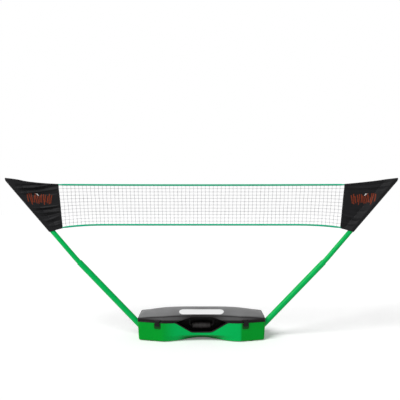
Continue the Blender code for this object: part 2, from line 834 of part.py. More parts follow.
def make_handle(kit, joint):
    """Bail with its grip, hung in two ears on the back of the bay."""
    grip_z = PIVOT_Z - ARM_LENGTH
    stub = ARM_X + HANDLE_WIRE + 2 * GAP + EAR_THICKNESS
    ear_x = ARM_X + HANDLE_WIRE + GAP + EAR_THICKNESS / 2
    corners = [Vector((stub * s, PIVOT_Y, PIVOT_Z)) for s in (-1, 1)]
    knees = [Vector((ARM_X * s, PIVOT_Y, PIVOT_Z)) for s in (-1, 1)]
    elbows = [Vector((ARM_X * s, PIVOT_Y, grip_z)) for s in (-1, 1)]
    path = [corners[0], knees[0], elbows[0], elbows[1], knees[1], corners[1]]
    bends = [HANDLE_WIRE, 2 * HANDLE_WIRE, 2 * HANDLE_WIRE, HANDLE_WIRE]
    bail = bar_curve("handle_bail", rounded_path(path, bends), HANDLE_WIRE)
    kit.add("handle_bail", bail, kit.black, joint)
    grip = kit.add("handle_grip", profile_mesh("handle_grip", grip_profile(), True), kit.rubber, joint)
    turn_profile(grip, Vector((0, PIVOT_Y, grip_z)), Vector((1, 0, 0)), 16)
    back = BAY_BACK_Y - WALL - GAP
    for name, side in SIDES.items():
        rounded = arc((PIVOT_Y, PIVOT_Z), EAR_RADIUS, math.pi / 2, math.pi * 1.5, 8)
        shape = [(back, PIVOT_Z + EAR_RADIUS)] + rounded + [(back, PIVOT_Z - EAR_RADIUS)]
        hole = circle((PIVOT_Y, PIVOT_Z), HANDLE_WIRE + GAP, 12)
        frame = Matrix.Translation((side * ear_x, 0, 0)) @ SIDE_VIEW
        data = plate_mesh(f"handle_ear_{name}", [shape, hole], EAR_THICKNESS, frame)
        kit.add(f"handle_ear_{name}", data, kit.black)


def grip_profile():
    """Closed profile of the grip as radius and height, down its waved outside and up its bore."""
    bore = HANDLE_WIRE + GAP
    shoulder = GRIP_RADIUS - GRIP_SHOULDER
    flat = GRIP_HALF - GRIP_SHOULDER
    waved = []
    count = GRIP_WAVES * 3
    for step in range(count + 1):
        share = step / count
        wave = GRIP_WAVE * (math.cos(2 * math.pi * GRIP_WAVES * share) - 1)
        waved.append((GRIP_RADIUS + wave, flat * (1 - 2 * share)))
    top = [(bore, GRIP_HALF), (shoulder, GRIP_HALF)]
    return top + waved + [(shoulder, -GRIP_HALF), (bore, -GRIP_HALF)]


def make_latches(kit, joints):
    """Latch tabs on pins in the lid's lugs, over U-shaped keepers on the base."""
    for name, side in SIDES.items():
        frame = latch_frame(side)
        centre = (-LATCH_REACH, LATCH_RISE)
        outer = -LATCH_INNER - LATCH_PLATE
        end = LATCH_RISE - LATCH_DROP
        rib = -KEEPER_PLATE - 2 * GAP
        barrel = arc(centre, LATCH_BARREL, -0.30 * math.pi, 1.22 * math.pi, 10)
        tab = [
            (outer, LATCH_RISE - LATCH_SHOULDER),
            (outer, end + LATCH_SHOULDER),
            (outer - LATCH_LIP, end),
            (-LATCH_INNER, end),
            (rib, end + LATCH_LIP),
            (-LATCH_INNER, end + LATCH_RIB),
            (-LATCH_INNER, LATCH_RISE - LATCH_SHOULDER),
        ]
        hole = circle(centre, LATCH_PIN + GAP, 10)
        data = plate_mesh(f"latch_{name}", [barrel + tab, hole], LATCH_WIDTH, frame @ SIDE_VIEW)
        kit.add(f"latch_{name}", data, kit.black, joints[f"latch_{name}"])
        pin = bmesh.new()
        reach = Vector((LATCH_WIDTH / 2 + GAP + LUG_WIDTH, 0, 0))
        middle = Vector((0, -LATCH_REACH, LATCH_RISE))
        add_cylinder(pin, frame @ (middle - reach), frame @ (middle + reach), LATCH_PIN, sides=10)
        kit.add(f"latch_pin_{name}", mesh_of(f"latch_pin_{name}", pin), kit.steel, joints["lid"])
        make_keeper(kit, name, frame)


def make_keeper(kit, name, frame):
    """U-shaped frame on the base's wall with a catch bar across it."""
    top = RIM_HEIGHT - SEAM - KEEPER_DROP
    low = top - KEEPER_HEIGHT
    half = KEEPER_WIDTH / 2
    inner = half - KEEPER_ARM
    bar = (top - KEEPER_BAR_DROP, top - KEEPER_BAR_DROP - KEEPER_BAR_HEIGHT)
    shape = arc((-half + KEEPER_ARM, low + KEEPER_ARM), KEEPER_ARM, math.pi, 1.5 * math.pi, 3)
    shape += arc((half - KEEPER_ARM, low + KEEPER_ARM), KEEPER_ARM, -math.pi / 2, 0, 3)
    shape += [(half, top), (inner, top), (inner, bar[0]), (-inner, bar[0]), (-inner, top), (-half, top)]
    slot = [(-inner, low + KEEPER_ARM), (inner, low + KEEPER_ARM), (inner, bar[1]), (-inner, bar[1])]
    out = Matrix.Translation((0, -GAP - KEEPER_PLATE / 2, 0))
    data = plate_mesh(f"latch_keeper_{name}", [shape, slot], KEEPER_PLATE, frame @ out @ FRONT_VIEW)
    kit.add(f"latch_keeper_{name}", data, kit.green)


def socket_radius():
    """Outer radius of a pole socket."""
    return LOWER_RADIUS + GAP + SOCKET_WALL


def make_sockets(kit):
    """Slanted tubes that stand on the floor and pass the end walls."""
    for name, side in SIDES.items():
        axis = pole_direction(side, LOWER_ANGLE)
        foot = pole_foot(side)
        bm = bmesh.new()
        ends = (foot - axis * SOCKET_BELOW, pole_entry(side) + axis * SOCKET_ABOVE)
        add_cylinder(bm, *ends, socket_radius(), sides=24)
        trims = [
            (Vector((side * (CASE_LENGTH / 2 + SOCKET_COLLAR), 0, 0)), Vector((side, 0, 0))),
            (Vector((0, 0, FOOT_HEIGHT + WALL + GAP)), Vector((0, 0, -1))),
        ]
        for place, normal in trims:
            trim(bm, place, normal)
        bmesh.ops.recalc_face_normals(bm, faces=bm.faces)
        socket = kit.add(f"pole_socket_{name}", mesh_of(f"pole_socket_{name}", bm), kit.green)
        bore = bmesh.new()
        add_cylinder(bore, foot - axis * GAP, ends[1] + axis * GAP, LOWER_RADIUS + GAP, sides=24)
        cutter = kit.cutter(f"socket_bore_{name}", mesh_of(f"socket_bore_{name}", bore, smooth=False))
        boolean(socket, "DIFFERENCE", cutter)


def make_plug(kit, name, seat, axis, tube, joint):
    """Plug in a tube's end: a flange as wide as the tube, and a shank inside its wall."""
    flange, wall = tube
    shank = flange - wall - GAP
    profile = [(0, PLUG_LENGTH), (shank * PLUG_TAPER, PLUG_LENGTH), (shank, 0), (flange, 0)]
    profile += [(flange, PLUG_EDGE / 2 - PLUG_FLANGE), (flange - PLUG_EDGE, -PLUG_FLANGE), (0, -PLUG_FLANGE)]
    plug = kit.add(name, profile_mesh(name, profile, False), kit.black, joint)
    turn_profile(plug, seat, axis, 20)


def make_poles(kit, joints):
    """Lower and upper tubes with the plugs in their ends."""
    for name, side in SIDES.items():
        low = pole_direction(side, LOWER_ANGLE)
        high = pole_direction(side, UPPER_ANGLE)
        start = pole_foot(side) + low * (PLUG_FLANGE + GAP)
        tube = curve_mesh(bar_curve("tube", [start, pole_joint(side)], LOWER_RADIUS, 8, caps=False))
        lower = kit.add(f"lower_tube_{name}", tube, kit.pole_green, joints[f"pole_{name}"])
        thicken(lower, LOWER_WALL)
        tube_size = (LOWER_RADIUS, LOWER_WALL)
        make_plug(kit, f"foot_plug_{name}", start - low * GAP, low, tube_size, joints[f"pole_{name}"])
        elbow = pole_elbow(side)
        bend = rounded_path([pole_joint(side) - low * SPIGOT, elbow, pole_tip(side)], [ELBOW * 0.8])
        tube = curve_mesh(bar_curve("tube", bend, UPPER_RADIUS, 6, caps=False))
        upper = kit.add(f"upper_tube_{name}", tube, kit.pole_green, joints[f"upper_{name}"])
        thicken(upper, UPPER_WALL)
        seat = pole_tip(side) + high * GAP
        tube_size = (UPPER_RADIUS, UPPER_WALL)
        make_plug(kit, f"tip_plug_{name}", seat, -high, tube_size, joints[f"upper_{name}"])


def sleeve_patch(side, u, v):
    """Point of a fabric panel: u from its inner edge to the pole, v from its hem to its top."""
    along = pole_direction(1, UPPER_ANGLE)
    out = Vector((along.z, 0, -along.x))
    top = net_top_height() + CORD_RADIUS
    low = net_top_height() - NET_HEIGHT - END_DIP - HEM_MARGIN
    inner_low = Vector((net_edge_x(low), 0, low))
    inner_top = Vector((net_edge_x(top), 0, top))
    seam = pole_elbow(1) + out * SEAM_ALLOWANCE
    fall = math.tan(HEM_ANGLE)
    start = (low - fall * (seam.x - inner_low.x) - seam.z) / (along.z + fall * along.x)
    reach = start + (UPPER_LENGTH + TIP_FABRIC - start) * v
    offset = SEAM_ALLOWANCE - (SEAM_ALLOWANCE - TIP_ALLOWANCE) * v**8
    outer = pole_elbow(1) + along * reach + out * offset
    point = (inner_low + (inner_top - inner_low) * v) * (1 - u) + outer * u
    fold = math.sin(2 * math.pi * FOLDS * v + 1.1 * u) * math.sin(math.pi * min(1, u * 1.12)) ** 2
    point.y = FOLD_HEIGHT[side] * fold * (1 - 0.5 * v)
    point.x *= side
    return point


def make_sleeves(kit, joints):
    """Black fabric panels, each folded cloth joined to the pocket round the pole's tip."""
    for name, side in SIDES.items():
        high = pole_direction(side, UPPER_ANGLE)
        bm = bmesh.new()
        columns, rows = SLEEVE_CELLS
        grid = []
        for j in range(rows + 1):
            grid.append([bm.verts.new(sleeve_patch(side, i / columns, j / rows)) for i in range(columns + 1)])
        for low, top in zip(grid, grid[1:]):
            for i in range(columns):
                bm.faces.new((low[i], low[i + 1], top[i + 1], top[i]))
        bmesh.ops.recalc_face_normals(bm, faces=bm.faces)
        panel = kit.add(f"sleeve_{name}", mesh_of(f"sleeve_{name}", bm), kit.fabric, joints[f"upper_{name}"])
        cloth = thicken(panel, SLEEVE_CLOTH)
        cloth.offset = 0
        boolean(panel, "UNION", kit.cutter(f"pocket_{name}", pocket_mesh(f"pocket_{name}", side)))
        bore = bmesh.new()
        end = pole_tip(side) + high * (PLUG_FLANGE + 2 * GAP)
        add_cylinder(bore, end - high * (UPPER_LENGTH - ELBOW), end, UPPER_RADIUS + GAP)
        boolean(panel, "DIFFERENCE", kit.cutter(f"pocket_bore_{name}", mesh_of(f"pocket_bore_{name}", bore)))


def pocket_mesh(name, side):
    """Round pocket along the pole, closed past its tip and cut off just above the hem."""
    along = pole_direction(side, UPPER_ANGLE)
    hem_inner, hem_outer = (sleeve_patch(side, u, 0) for u in (0, 1))
    hem = (hem_outer - hem_inner).normalized()
    below = Vector((side * hem.z, 0, -side * hem.x))
    reach = along.dot(hem_outer - pole_elbow(side)) - POCKET_BELOW
    bm = bmesh.new()
    start = pole_elbow(side) + along * reach
    end = pole_tip(side) + along * (PLUG_FLANGE + 2 * GAP + POCKET_WALL)
    add_cylinder(bm, start, end, UPPER_RADIUS + GAP + POCKET_WALL)
    trim(bm, hem_outer - below * HEM_OVERLAP, below)
    return mesh_of(name, bm, smooth=False)


def make_net(kit):
    """Knotted mesh between the two cords and the panels."""
    columns, rows = NET_CELLS
    bm = bmesh.new()
    bmesh.ops.create_grid(bm, x_segments=columns, y_segments=rows, size=1)
    inset = CORD_RADIUS + NET_SEAT + NET_STRAND / 2
    for vert in bm.verts:
        v = (vert.co.y + 1) / 2
        x = vert.co.x * net_edge_x(net_top_height() - NET_HEIGHT * (1 - v))
        low = bottom_cord_height(x) + inset
        z = low + (top_cord_height(x) - inset - low) * v
        vert.co = (vert.co.x * (net_edge_x(z) - CORD_END_GAP - NET_STRAND / 2), 0, z)
    net = kit.add("net_mesh", mesh_of("net_mesh", bm, smooth=False), kit.mesh_white)
    wire = net.modifiers.new("strands", "WIREFRAME")
    wire.thickness = NET_STRAND
    wire.use_even_offset = True
    wire.use_boundary = True
    wire.use_replace = True


def make_cords(kit):
    """Green cords along the top and the bottom of the net, from panel to panel."""
    columns = NET_CELLS[0]
    for name, height, end in (
        ("top_cord", top_cord_height, net_top_height()),
        ("bottom_cord", bottom_cord_height, net_top_height() - NET_HEIGHT - END_DIP),
    ):
        reach = net_edge_x(end) - CORD_END_GAP
        stations = [reach * (2 * i / columns - 1) for i in range(columns + 1)]
        kept = [x for i, x in enumerate(stations) if i % 6 == 0 or abs(x) > DIP_START - 2 * reach / columns]
        points = [Vector((x, 0, height(x))) for x in (kept if name == "bottom_cord" else stations[::6])]
        kit.add(name, bar_curve(name, points, CORD_RADIUS), kit.cord_green)


def make_label(kit, joint):
    """Bare white plate on the lid's front slope, with round ends."""
    bm = bmesh.new()
    columns = 10
    rows = 4
    grid = []
    for j in range(rows + 1):
        rise = LABEL_RADIUS * math.sin(math.pi * (j / rows - 0.5))
        half = LABEL_HALF_LENGTH - LABEL_RADIUS + math.sqrt(LABEL_RADIUS**2 - rise**2)
        line = []
        for i in range(columns + 1):
            x = half * (2 * i / columns - 1)
            y = LABEL_CENTRE_Y + rise
            line.append(bm.verts.new((x, y, dome_height(x, y) + LABEL_SEAT + LABEL_PLATE)))
        grid.append(line)
    for low, high in zip(grid, grid[1:]):
        for i in range(columns):
            bm.faces.new((low[i], low[i + 1], high[i + 1], high[i]))
    label = kit.add("label_plate", mesh_of("label_plate", bm), kit.white, joint)
    thicken(label, LABEL_PLATE)


def make_clips(kit):
    """Spring clips on the floor for the packed poles."""
    inner = LOWER_RADIUS
    outer = inner + CLIP_WALL
    floor = FOOT_HEIGHT + WALL + GAP
    for row, y in CLIP_ROWS.items():
        for end, side in SIDES.items():
            name = f"pole_clip_{row}_{end}"
            centre = (y, floor + outer)
            start = math.pi / 2 + CLIP_MOUTH
            stop = math.pi * 2.5 - CLIP_MOUTH
            ring_outer = arc(centre, outer, start, stop, 14)
            foot = [(y - CLIP_FOOT_HALF, floor), (y + CLIP_FOOT_HALF, floor)]
            ring_outer = [p for p in ring_outer if p[1] > floor + CLIP_FOOT_HEIGHT]
            left = [p for p in ring_outer if p[0] < y]
            right = [p for p in ring_outer if p[0] > y]
            hollow = arc(centre, inner, stop, start, 14)
            frame = Matrix.Translation((side * CLIP_X, 0, 0)) @ SIDE_VIEW
            data = plate_mesh(name, [left + foot + right + hollow], CLIP_WIDTH, frame)
            kit.add(name, data, kit.black)


def make_joints(kit):
    """Empties on the axes of everything that moves."""
    places = {"lid": Vector((0, HINGE_AXIS_Y, SEAM)), "handle": Vector((0, PIVOT_Y, PIVOT_Z))}
    for name, side in SIDES.items():
        places[f"pole_{name}"] = pole_foot(side)
        places[f"upper_{name}"] = pole_joint(side)
        places[f"latch_{name}"] = latch_frame(side) @ Vector((0, -LATCH_REACH, LATCH_RISE))
    joints = {}
    for key, place in places.items():
        carrier = kit.root
        if key.startswith("upper"):
            carrier = joints[key.replace("upper", "pole")]
        if key.startswith("latch"):
            carrier = joints["lid"]
        joints[key] = pivot(f"{key}_axis", place, carrier, kit.parts)
    return joints


def main():
    """Build the whole set."""
    clear_scene()
    kit = NetSet()
    joints = make_joints(kit)
    window = window_cutter(kit)
    bores = hinge_bore(kit)
    make_base(kit, window, bores)
    make_lid(kit, window, bores, joints["lid"])
    make_hinge_pins(kit)
    make_rim_trim(kit)
    make_feet(kit)
    make_bay_liner(kit)
    make_handle(kit, joints["handle"])
    make_latches(kit, joints)
    make_sockets(kit)
    make_poles(kit, joints)
    make_sleeves(kit, joints)
    make_net(kit)
    make_cords(kit)
    make_label(kit, joints["lid"])
    make_clips(kit)


main()
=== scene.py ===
"""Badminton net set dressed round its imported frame.

Laid out as an add-on: one operator makes each group of pieces, and main() calls them in order.
Surfaces are grids worked out with numpy, in metres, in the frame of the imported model.
"""

import math

import bmesh
import bpy
import numpy as np
from bpy.props import FloatProperty, FloatVectorProperty, IntProperty, PointerProperty
from bpy.types import Operator, Panel, PropertyGroup
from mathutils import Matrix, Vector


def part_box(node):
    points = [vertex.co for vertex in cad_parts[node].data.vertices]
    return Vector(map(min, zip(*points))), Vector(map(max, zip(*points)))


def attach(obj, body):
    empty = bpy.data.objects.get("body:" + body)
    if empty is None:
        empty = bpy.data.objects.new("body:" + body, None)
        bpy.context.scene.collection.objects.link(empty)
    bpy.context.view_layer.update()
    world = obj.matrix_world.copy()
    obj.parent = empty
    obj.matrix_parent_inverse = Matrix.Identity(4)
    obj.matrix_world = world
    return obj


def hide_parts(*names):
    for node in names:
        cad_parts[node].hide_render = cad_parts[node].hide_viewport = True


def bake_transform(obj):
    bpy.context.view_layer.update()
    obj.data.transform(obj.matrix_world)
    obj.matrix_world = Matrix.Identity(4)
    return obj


bl_info = {
    "name": "Badminton net set",
    "version": (1, 0, 0),
    "blender": (4, 5, 0),
    "location": "View3D > Sidebar > Net Set",
    "description": "Case, poles, fabric panels and net of a free-standing badminton set",
    "category": "Add Mesh",
}

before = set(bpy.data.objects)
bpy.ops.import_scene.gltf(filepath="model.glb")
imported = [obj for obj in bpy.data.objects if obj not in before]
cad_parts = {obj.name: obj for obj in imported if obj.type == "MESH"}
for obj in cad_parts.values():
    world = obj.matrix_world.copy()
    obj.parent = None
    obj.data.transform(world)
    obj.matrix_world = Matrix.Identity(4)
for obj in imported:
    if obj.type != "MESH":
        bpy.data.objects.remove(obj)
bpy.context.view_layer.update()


def node_middle(node):
    """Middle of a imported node's box."""
    low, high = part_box(node)
    return (np.array(low) + np.array(high)) / 2


# The plane of the poles and the net
PLANE_Y = float(node_middle("net_mesh")[1])
SIDES = {"left": -1, "right": 1}

# Case from above, and its heights
CASE_LENGTH = 0.684
BULGE_X = 0.205
BULGE_DEPTH = 0.112
END_DEPTH = 0.075
BASE_WAIST = 0.090
FLOOR_WAIST = 0.047
LID_WAIST = 0.100
BACK_WAIST = 0.085
CORNER_RADIUS = 0.014
WALL = 0.0025
WAIST_STEPS = 44
FACET_STEPS = 14
CORNER_STEPS = 8
FACET_SLOPE = (BULGE_DEPTH - END_DEPTH) / (CASE_LENGTH / 2 - BULGE_X)
FACET_LEAN = math.atan(FACET_SLOPE)
FOOT_HEIGHT = 0.003
FLOOR_ROUND = 0.006
ARCH_RISE = 0.005
ARCH_HALF = 0.140
LIP_HEIGHT = 0.033
RIM_HEIGHT = 0.100
DRAFT = 0.006
BEAD_RADIUS = 0.0032
BEAD_GAP = 0.0003
SEAM = 0.1035
LID_RIM = 0.107
BAND_HEIGHT = 0.009
SKIRT_HEIGHT = 0.0245
SKIRT_LEAN = 0.006
CREASE_RISE = 0.009
LEDGE = 0.003
GROOVE = 0.0013
DOME_RISE = 0.0233
CROWN_DROP = 0.0282
CROWN_POWER = 2.4
SPINE_HALF = 0.300

# Window of the handle bay
WINDOW_LIP_HALF = 0.054
WINDOW_HALF = 0.143
WINDOW_TOP_HALF = 0.055
WINDOW_LIP = LIP_HEIGHT + 0.012
WINDOW_TOP_BAND = 0.009
WINDOW_SOFT = 0.10

# Latches
LATCH_X = 0.234
LATCH_WIDTH = 0.025
LATCH_RISE = 0.0095
LATCH_REACH = 0.0048
LATCH_BARREL = 0.003
LATCH_DROP = 0.0285
TAB_INNER = -0.0026
TAB_OUTER = -0.0052
FINGER_RIDGE = 0.00045
TAB_SHOULDER = 0.006
TAB_LIP = 0.002
HOOK_Y = -0.0018
HOOK_RISE = 0.002
HOOK_TOP = 0.005
LUG_GAP = 0.0003
LUG_WIDTH = 0.003
LUG_ROOT = 0.0015
KEEPER_HALF = 0.0165
KEEPER_ARM = 0.0025
KEEPER_BEND = 0.006
KEEPER_DROP = 0.002
KEEPER_HEIGHT = 0.030
KEEPER_Y = -0.00095
CATCH_Y = -0.0009
CATCH_DROP = 0.012
CATCH_RADIUS = 0.002
KEEPER_BACK = (-0.00085, 0.0004)
KEEPER_BACK_INSET = 0.001

# Hinges
HINGE_X = 0.190
HINGE_RADIUS = 0.005
HINGE_AXIS_Y = 0.11925
HINGE_LEAF = 0.012
HINGE_SINK = 0.002
LID_KNUCKLE_HALF = 0.007
BASE_KNUCKLE_REACH = (0.0073, 0.0173)

# Carrying handle
PIVOT_Y = -0.048
PIVOT_Z = 0.112
ARM_X = 0.064
GRIP_DROP = 0.036
BAIL_RADIUS = 0.005
BAIL_BEND = 0.010
ARM_STEPS = (0.012, 0.006)
KNEE_RADIUS = 0.005
EAR_REACH = 0.0056
GRIP_HALF = 0.050
GRIP_RADIUS = 0.0173
GRIP_EDGE = 0.006
GRIP_TAPER = 0.003
GRIP_RIBS = 4
RIB_DEPTH = 0.0005

# Plate on the lid and feet under the base
PLATE_HALF = 0.120
PLATE_RADIUS = 0.024
PLATE_MIDDLE = -0.065
PLATE_THICKNESS = 0.0014
PLATE_GAP = 0.0002
FOOT_X = 0.262
FOOT_Y = 0.070
PAD_RADIUS = 0.014
PAD_HEIGHT = 0.0027
PAD_EDGE = 0.0012
PAD_HOLE = 0.0004

# Poles
LOWER_RADIUS = 0.016
UPPER_RADIUS = 0.013
LOWER_ANGLE = math.radians(45.9)
UPPER_ANGLE = math.radians(49.35)
LOWER_LENGTH = 0.545
UPPER_LENGTH = 0.574
SPIGOT = 0.070
ELBOW = 0.020
ELBOW_REACH = 0.012
LOWER_WALL = 0.0027
UPPER_WALL = 0.0022
TUBE_EDGE = 0.0009
PLUG_FLANGE = 0.0033
ENTRY_HEIGHT = 0.070
INSERTION = 0.071
POLE_HOLE_RADIUS = 0.0188
POLE_HOLE_REACH = 0.030

# Panels and net
SLEEVE_TOP_WIDTH = 0.2736
EDGE_LEAN = 0.0205
HEM_ANGLE = math.radians(16.7)
HEM_MARGIN = 0.0035
NET_DROP = 0.0252
NET_HEIGHT = 0.220
CORD_RADIUS = 0.0035
CORD_SWELL = 0.42
TOP_SAG = 0.002
END_DIP = 0.0154
DIP_START = 0.500
DIP_POWER = 2.5
SWELL_REACH = 0.03
NET_SWAY = 0.0011
NET_RIPPLE = 0.0006
EDGE_GAP = 0.0008
KNOT_SWELL = 0.45
KNOT_REACH = 0.09

# Stage
CAMERA_PLACE = (-0.008, PLANE_Y - 2.7, 0.7512)
CAMERA_LENS = 44.2
CAMERA_SENSOR = 36
SUN_TURN = (math.radians(44), 0, math.radians(-44))
SUN_SPREAD = math.radians(30)
FLOOR_X = (-14, 14)
FLOOR_Y = (-6, 22)
FLOOR_TONE = 0.93
FLOOR_LIFT = 0.155


class CaseSettings(PropertyGroup):
    """Colours, painted light and shade, and grain of the carrying case."""

    shell: FloatVectorProperty(
        name="Shell", description="Colour of the base", subtype="COLOR", default=(0.0, 0.285, 0.022)
    )
    # Hollow: the shell green painted lighter round the waist, where more light falls: painted light.
    hollow: FloatVectorProperty(
        name="Hollow",
        description="Colour of the base round its waist",
        subtype="COLOR",
        default=(0.0, 0.405, 0.082),
    )
    # Lid: a grey lighter than the lid's dark plastic, for the sheen on its top: partly own colour, partly
    # painted sheen.
    lid: FloatVectorProperty(
        name="Lid", description="Colour of the lid", subtype="COLOR", default=(0.165, 0.165, 0.167)
    )
    # Dark parts: also the colour of the painted shade on the lid's groove, skirt and band.
    dark: FloatVectorProperty(
        name="Dark parts",
        description="Colour of the tray, latches and bead",
        subtype="COLOR",
        default=(0.0065, 0.0045, 0.005),
    )
    plate: FloatVectorProperty(
        name="Plate",
        description="Colour of the bare plate on the lid",
        subtype="COLOR",
        default=(0.80, 0.80, 0.80),
    )
    grain: FloatProperty(
        name="Grain",
        description="Depth of the moulded grain",
        default=0.00012,
        min=0,
        max=0.001,
        unit="LENGTH",
    )


class PoleSettings(PropertyGroup):
    """Colour and roundness of the poles."""

    coat: FloatVectorProperty(
        name="Coat", description="Colour of the coated tube", subtype="COLOR", default=(0.0, 0.41, 0.082)
    )
    sides: IntProperty(name="Sides", description="Faces round a tube", default=64, min=16, max=128)


class PanelSettings(PropertyGroup):
    """Cloth, folds and print of the end panels."""

    cloth: FloatVectorProperty(
        name="Cloth", description="Colour of the fabric", subtype="COLOR", default=(0.0046, 0.0046, 0.0054)
    )
    accent: FloatVectorProperty(
        name="Print",
        description="Colour of the printed stripes",
        subtype="COLOR",
        default=(0.20, 0.030, 0.008),
    )
    fold_left: FloatProperty(
        name="Left folds",
        description="Height of the left panel's folds",
        default=0.0070,
        min=0,
        max=0.01,
        unit="LENGTH",
    )
    fold_right: FloatProperty(
        name="Right folds",
        description="Height of the right panel's folds",
        default=0.0046,
        min=0,
        max=0.01,
        unit="LENGTH",
    )


class NetSettings(PropertyGroup):
    """Mesh and cords of the net."""

    columns: IntProperty(name="Columns", description="Gaps along the net", default=72, min=8, max=120)
    rows: IntProperty(name="Rows", description="Gaps from cord to cord", default=12, min=2, max=24)
    strand: FloatProperty(
        name="Strand",
        description="Radius of a strand",
        default=0.00095,
        min=0.0002,
        max=0.002,
        unit="LENGTH",
    )
    mesh: FloatVectorProperty(
        name="Mesh", description="Colour of the strands", subtype="COLOR", default=(0.44, 0.44, 0.46)
    )
    cord: FloatVectorProperty(
        name="Cord", description="Colour of both cords", subtype="COLOR", default=(0.0, 0.40, 0.21)
    )


class StageSettings(PropertyGroup):
    """Light and floor round the set."""

    sky: FloatProperty(name="Sky", description="Strength of the even light", default=0.30, min=0, max=2)
    sun: FloatProperty(name="Sun", description="Strength of the soft key light", default=2.75, min=0, max=5)


class NetSetSettings(PropertyGroup):
    """Everything that a user of the set may change."""

    case: PointerProperty(type=CaseSettings)
    pole: PointerProperty(type=PoleSettings)
    panel: PointerProperty(type=PanelSettings)
    net: PointerProperty(type=NetSettings)
    stage: PointerProperty(type=StageSettings)


# Meshes from whole arrays

SHARP_ANGLE = 35.0
MERGE = 1e-6
FINE_MERGE = 1e-7


def grid_patch(points, closed=False, size=(1.0, 1.0), flip=False):
    """Points, quads and UVs of a grid of rows by columns; closed joins the last column to the first."""
    rows, columns = points.shape[:2]
    across = columns if closed else columns - 1
    i, j = np.meshgrid(np.arange(rows - 1), np.arange(across), indexing="ij")
    corners = [(i, j), (i, j + 1), (i + 1, j + 1), (i + 1, j)]
    if flip:
        corners = corners[::-1]
    faces = np.stack([a * columns + b % columns for a, b in corners], axis=-1).reshape(-1, 4)
    uv = np.stack(
        [np.stack([b / across * size[0], a / (rows - 1) * size[1]], axis=-1) for a, b in corners], axis=-2
    )
    return points.reshape(-1, 3), faces, uv.reshape(-1, 2)


def fan_patch(ring_points, flip=False):
    """One flat face over a ring of points, with its x and z as UV."""
    order = np.arange(len(ring_points))
    if flip:
        order = order[::-1]
    return ring_points, order[None, :], ring_points[order][:, [0, 2]]


def mesh_from(name, patches, merge=0.0, sharp=SHARP_ANGLE):
    """Mesh from patches, with one UV map, merged doubles and edges sharp above an angle."""
    points, faces, uvs, count = [], [], [], 0
    for patch_points, patch_faces, patch_uv in patches:
        points.append(patch_points)
        faces += (patch_faces + count).tolist()
        uvs.append(patch_uv)
        count += len(patch_points)
    mesh = bpy.data.meshes.new(name)
    mesh.from_pydata(np.concatenate(points).tolist(), [], faces)
    layer = mesh.uv_layers.new(name="surface")
    layer.uv.foreach_set("vector", np.concatenate(uvs).astype(np.float32).ravel())
    if merge:
        bm = bmesh.new()
        bm.from_mesh(mesh)
        bmesh.ops.remove_doubles(bm, verts=bm.verts, dist=merge)
        bm.to_mesh(mesh)
        bm.free()
    mesh.validate()
    mesh.shade_smooth()
    mesh.set_sharp_from_angle(angle=math.radians(sharp))
    return mesh


def piece(name, patches, finish, body, nodes=(), merge=0.0, sharp=SHARP_ANGLE):
    """Object made of patches, with a named finish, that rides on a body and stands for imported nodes."""
    mesh = mesh_from(name, patches, merge, sharp)
    obj = bpy.data.objects.new(name, mesh)
    bpy.context.scene.collection.objects.link(obj)
    mesh.materials.append(finish_of(finish))
    if body is not None:
        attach(obj, body)
    if nodes:
        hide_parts(*nodes)
    return obj


def add_wall(obj, thickness, offset=-1.0):
    """Even wall behind an open surface."""
    wall = obj.modifiers.new("wall", "SOLIDIFY")
    wall.thickness = thickness
    wall.offset = offset
    wall.use_even_offset = True
    wall.use_quality_normals = True


def add_round(obj, width, segments=2, angle=50.0):
    """Small rounding of the sharp edges."""
    bevel = obj.modifiers.new("rounding", "BEVEL")
    bevel.width = width
    bevel.segments = segments
    bevel.limit_method = "ANGLE"
    bevel.angle_limit = math.radians(angle)


def frames_along(path):
    """Two side vectors along a path: tangent x y, and that x tangent."""
    tangent = np.gradient(path, axis=0)
    tangent /= np.linalg.norm(tangent, axis=1, keepdims=True)
    side = np.cross(tangent, [0.0, 1.0, 0.0])
    short = np.linalg.norm(side, axis=1) < 1e-6
    side[short] = [1.0, 0.0, 0.0]
    side /= np.linalg.norm(side, axis=1, keepdims=True)
    return side, np.cross(side, tangent)


def ring_round(first, second, sides, flat=1.0):
    """Directions round a ring: cos a first + flat sin a second, for each pair of vectors."""
    angle = np.linspace(0, 2 * np.pi, sides, endpoint=False)[:, None]
    return np.cos(angle) * first[..., None, :] + flat * np.sin(angle) * second[..., None, :]


def tube_points(path, radii, sides, flat=1.0):
    """Rings round a path: centre + r (cos a side + flat sin a normal)."""
    side, normal = frames_along(path)
    radii = np.broadcast_to(radii, len(path))
    return path[:, None] + radii[:, None, None] * ring_round(side, normal, sides, flat)


def tube_patches(path, radii, sides, flat=1.0):
    """Closed tube along a path with a cap on each end."""
    points = tube_points(path, radii, sides, flat)
    length = np.linalg.norm(np.diff(path, axis=0), axis=1).sum()
    around = 2 * np.pi * float(np.max(radii))
    wall = grid_patch(points, closed=True, size=(around, length), flip=True)
    return [wall, fan_patch(points[0]), fan_patch(points[-1], flip=True)]


def lathe_patches(profile, centre, axis, sides):
    """Surface of a closed profile of (radius, height) turned about an axis through a centre."""
    axis = np.asarray(axis, float) / np.linalg.norm(axis)
    helper = np.array([0.0, 1.0, 0.0]) if abs(axis[1]) < 0.9 else np.array([1.0, 0.0, 0.0])
    first = np.cross(helper, axis)
    first /= np.linalg.norm(first)
    ring = ring_round(first, np.cross(axis, first), sides)
    profile = np.asarray(profile, float)
    profile = np.concatenate([profile, profile[:1]])
    points = np.asarray(centre) + profile[:, 0, None, None] * ring[None] + profile[:, 1, None, None] * axis
    length = float(np.linalg.norm(np.diff(profile, axis=0), axis=1).sum())
    return [grid_patch(points, closed=True, size=(2 * np.pi * profile[:, 0].max(), length))]


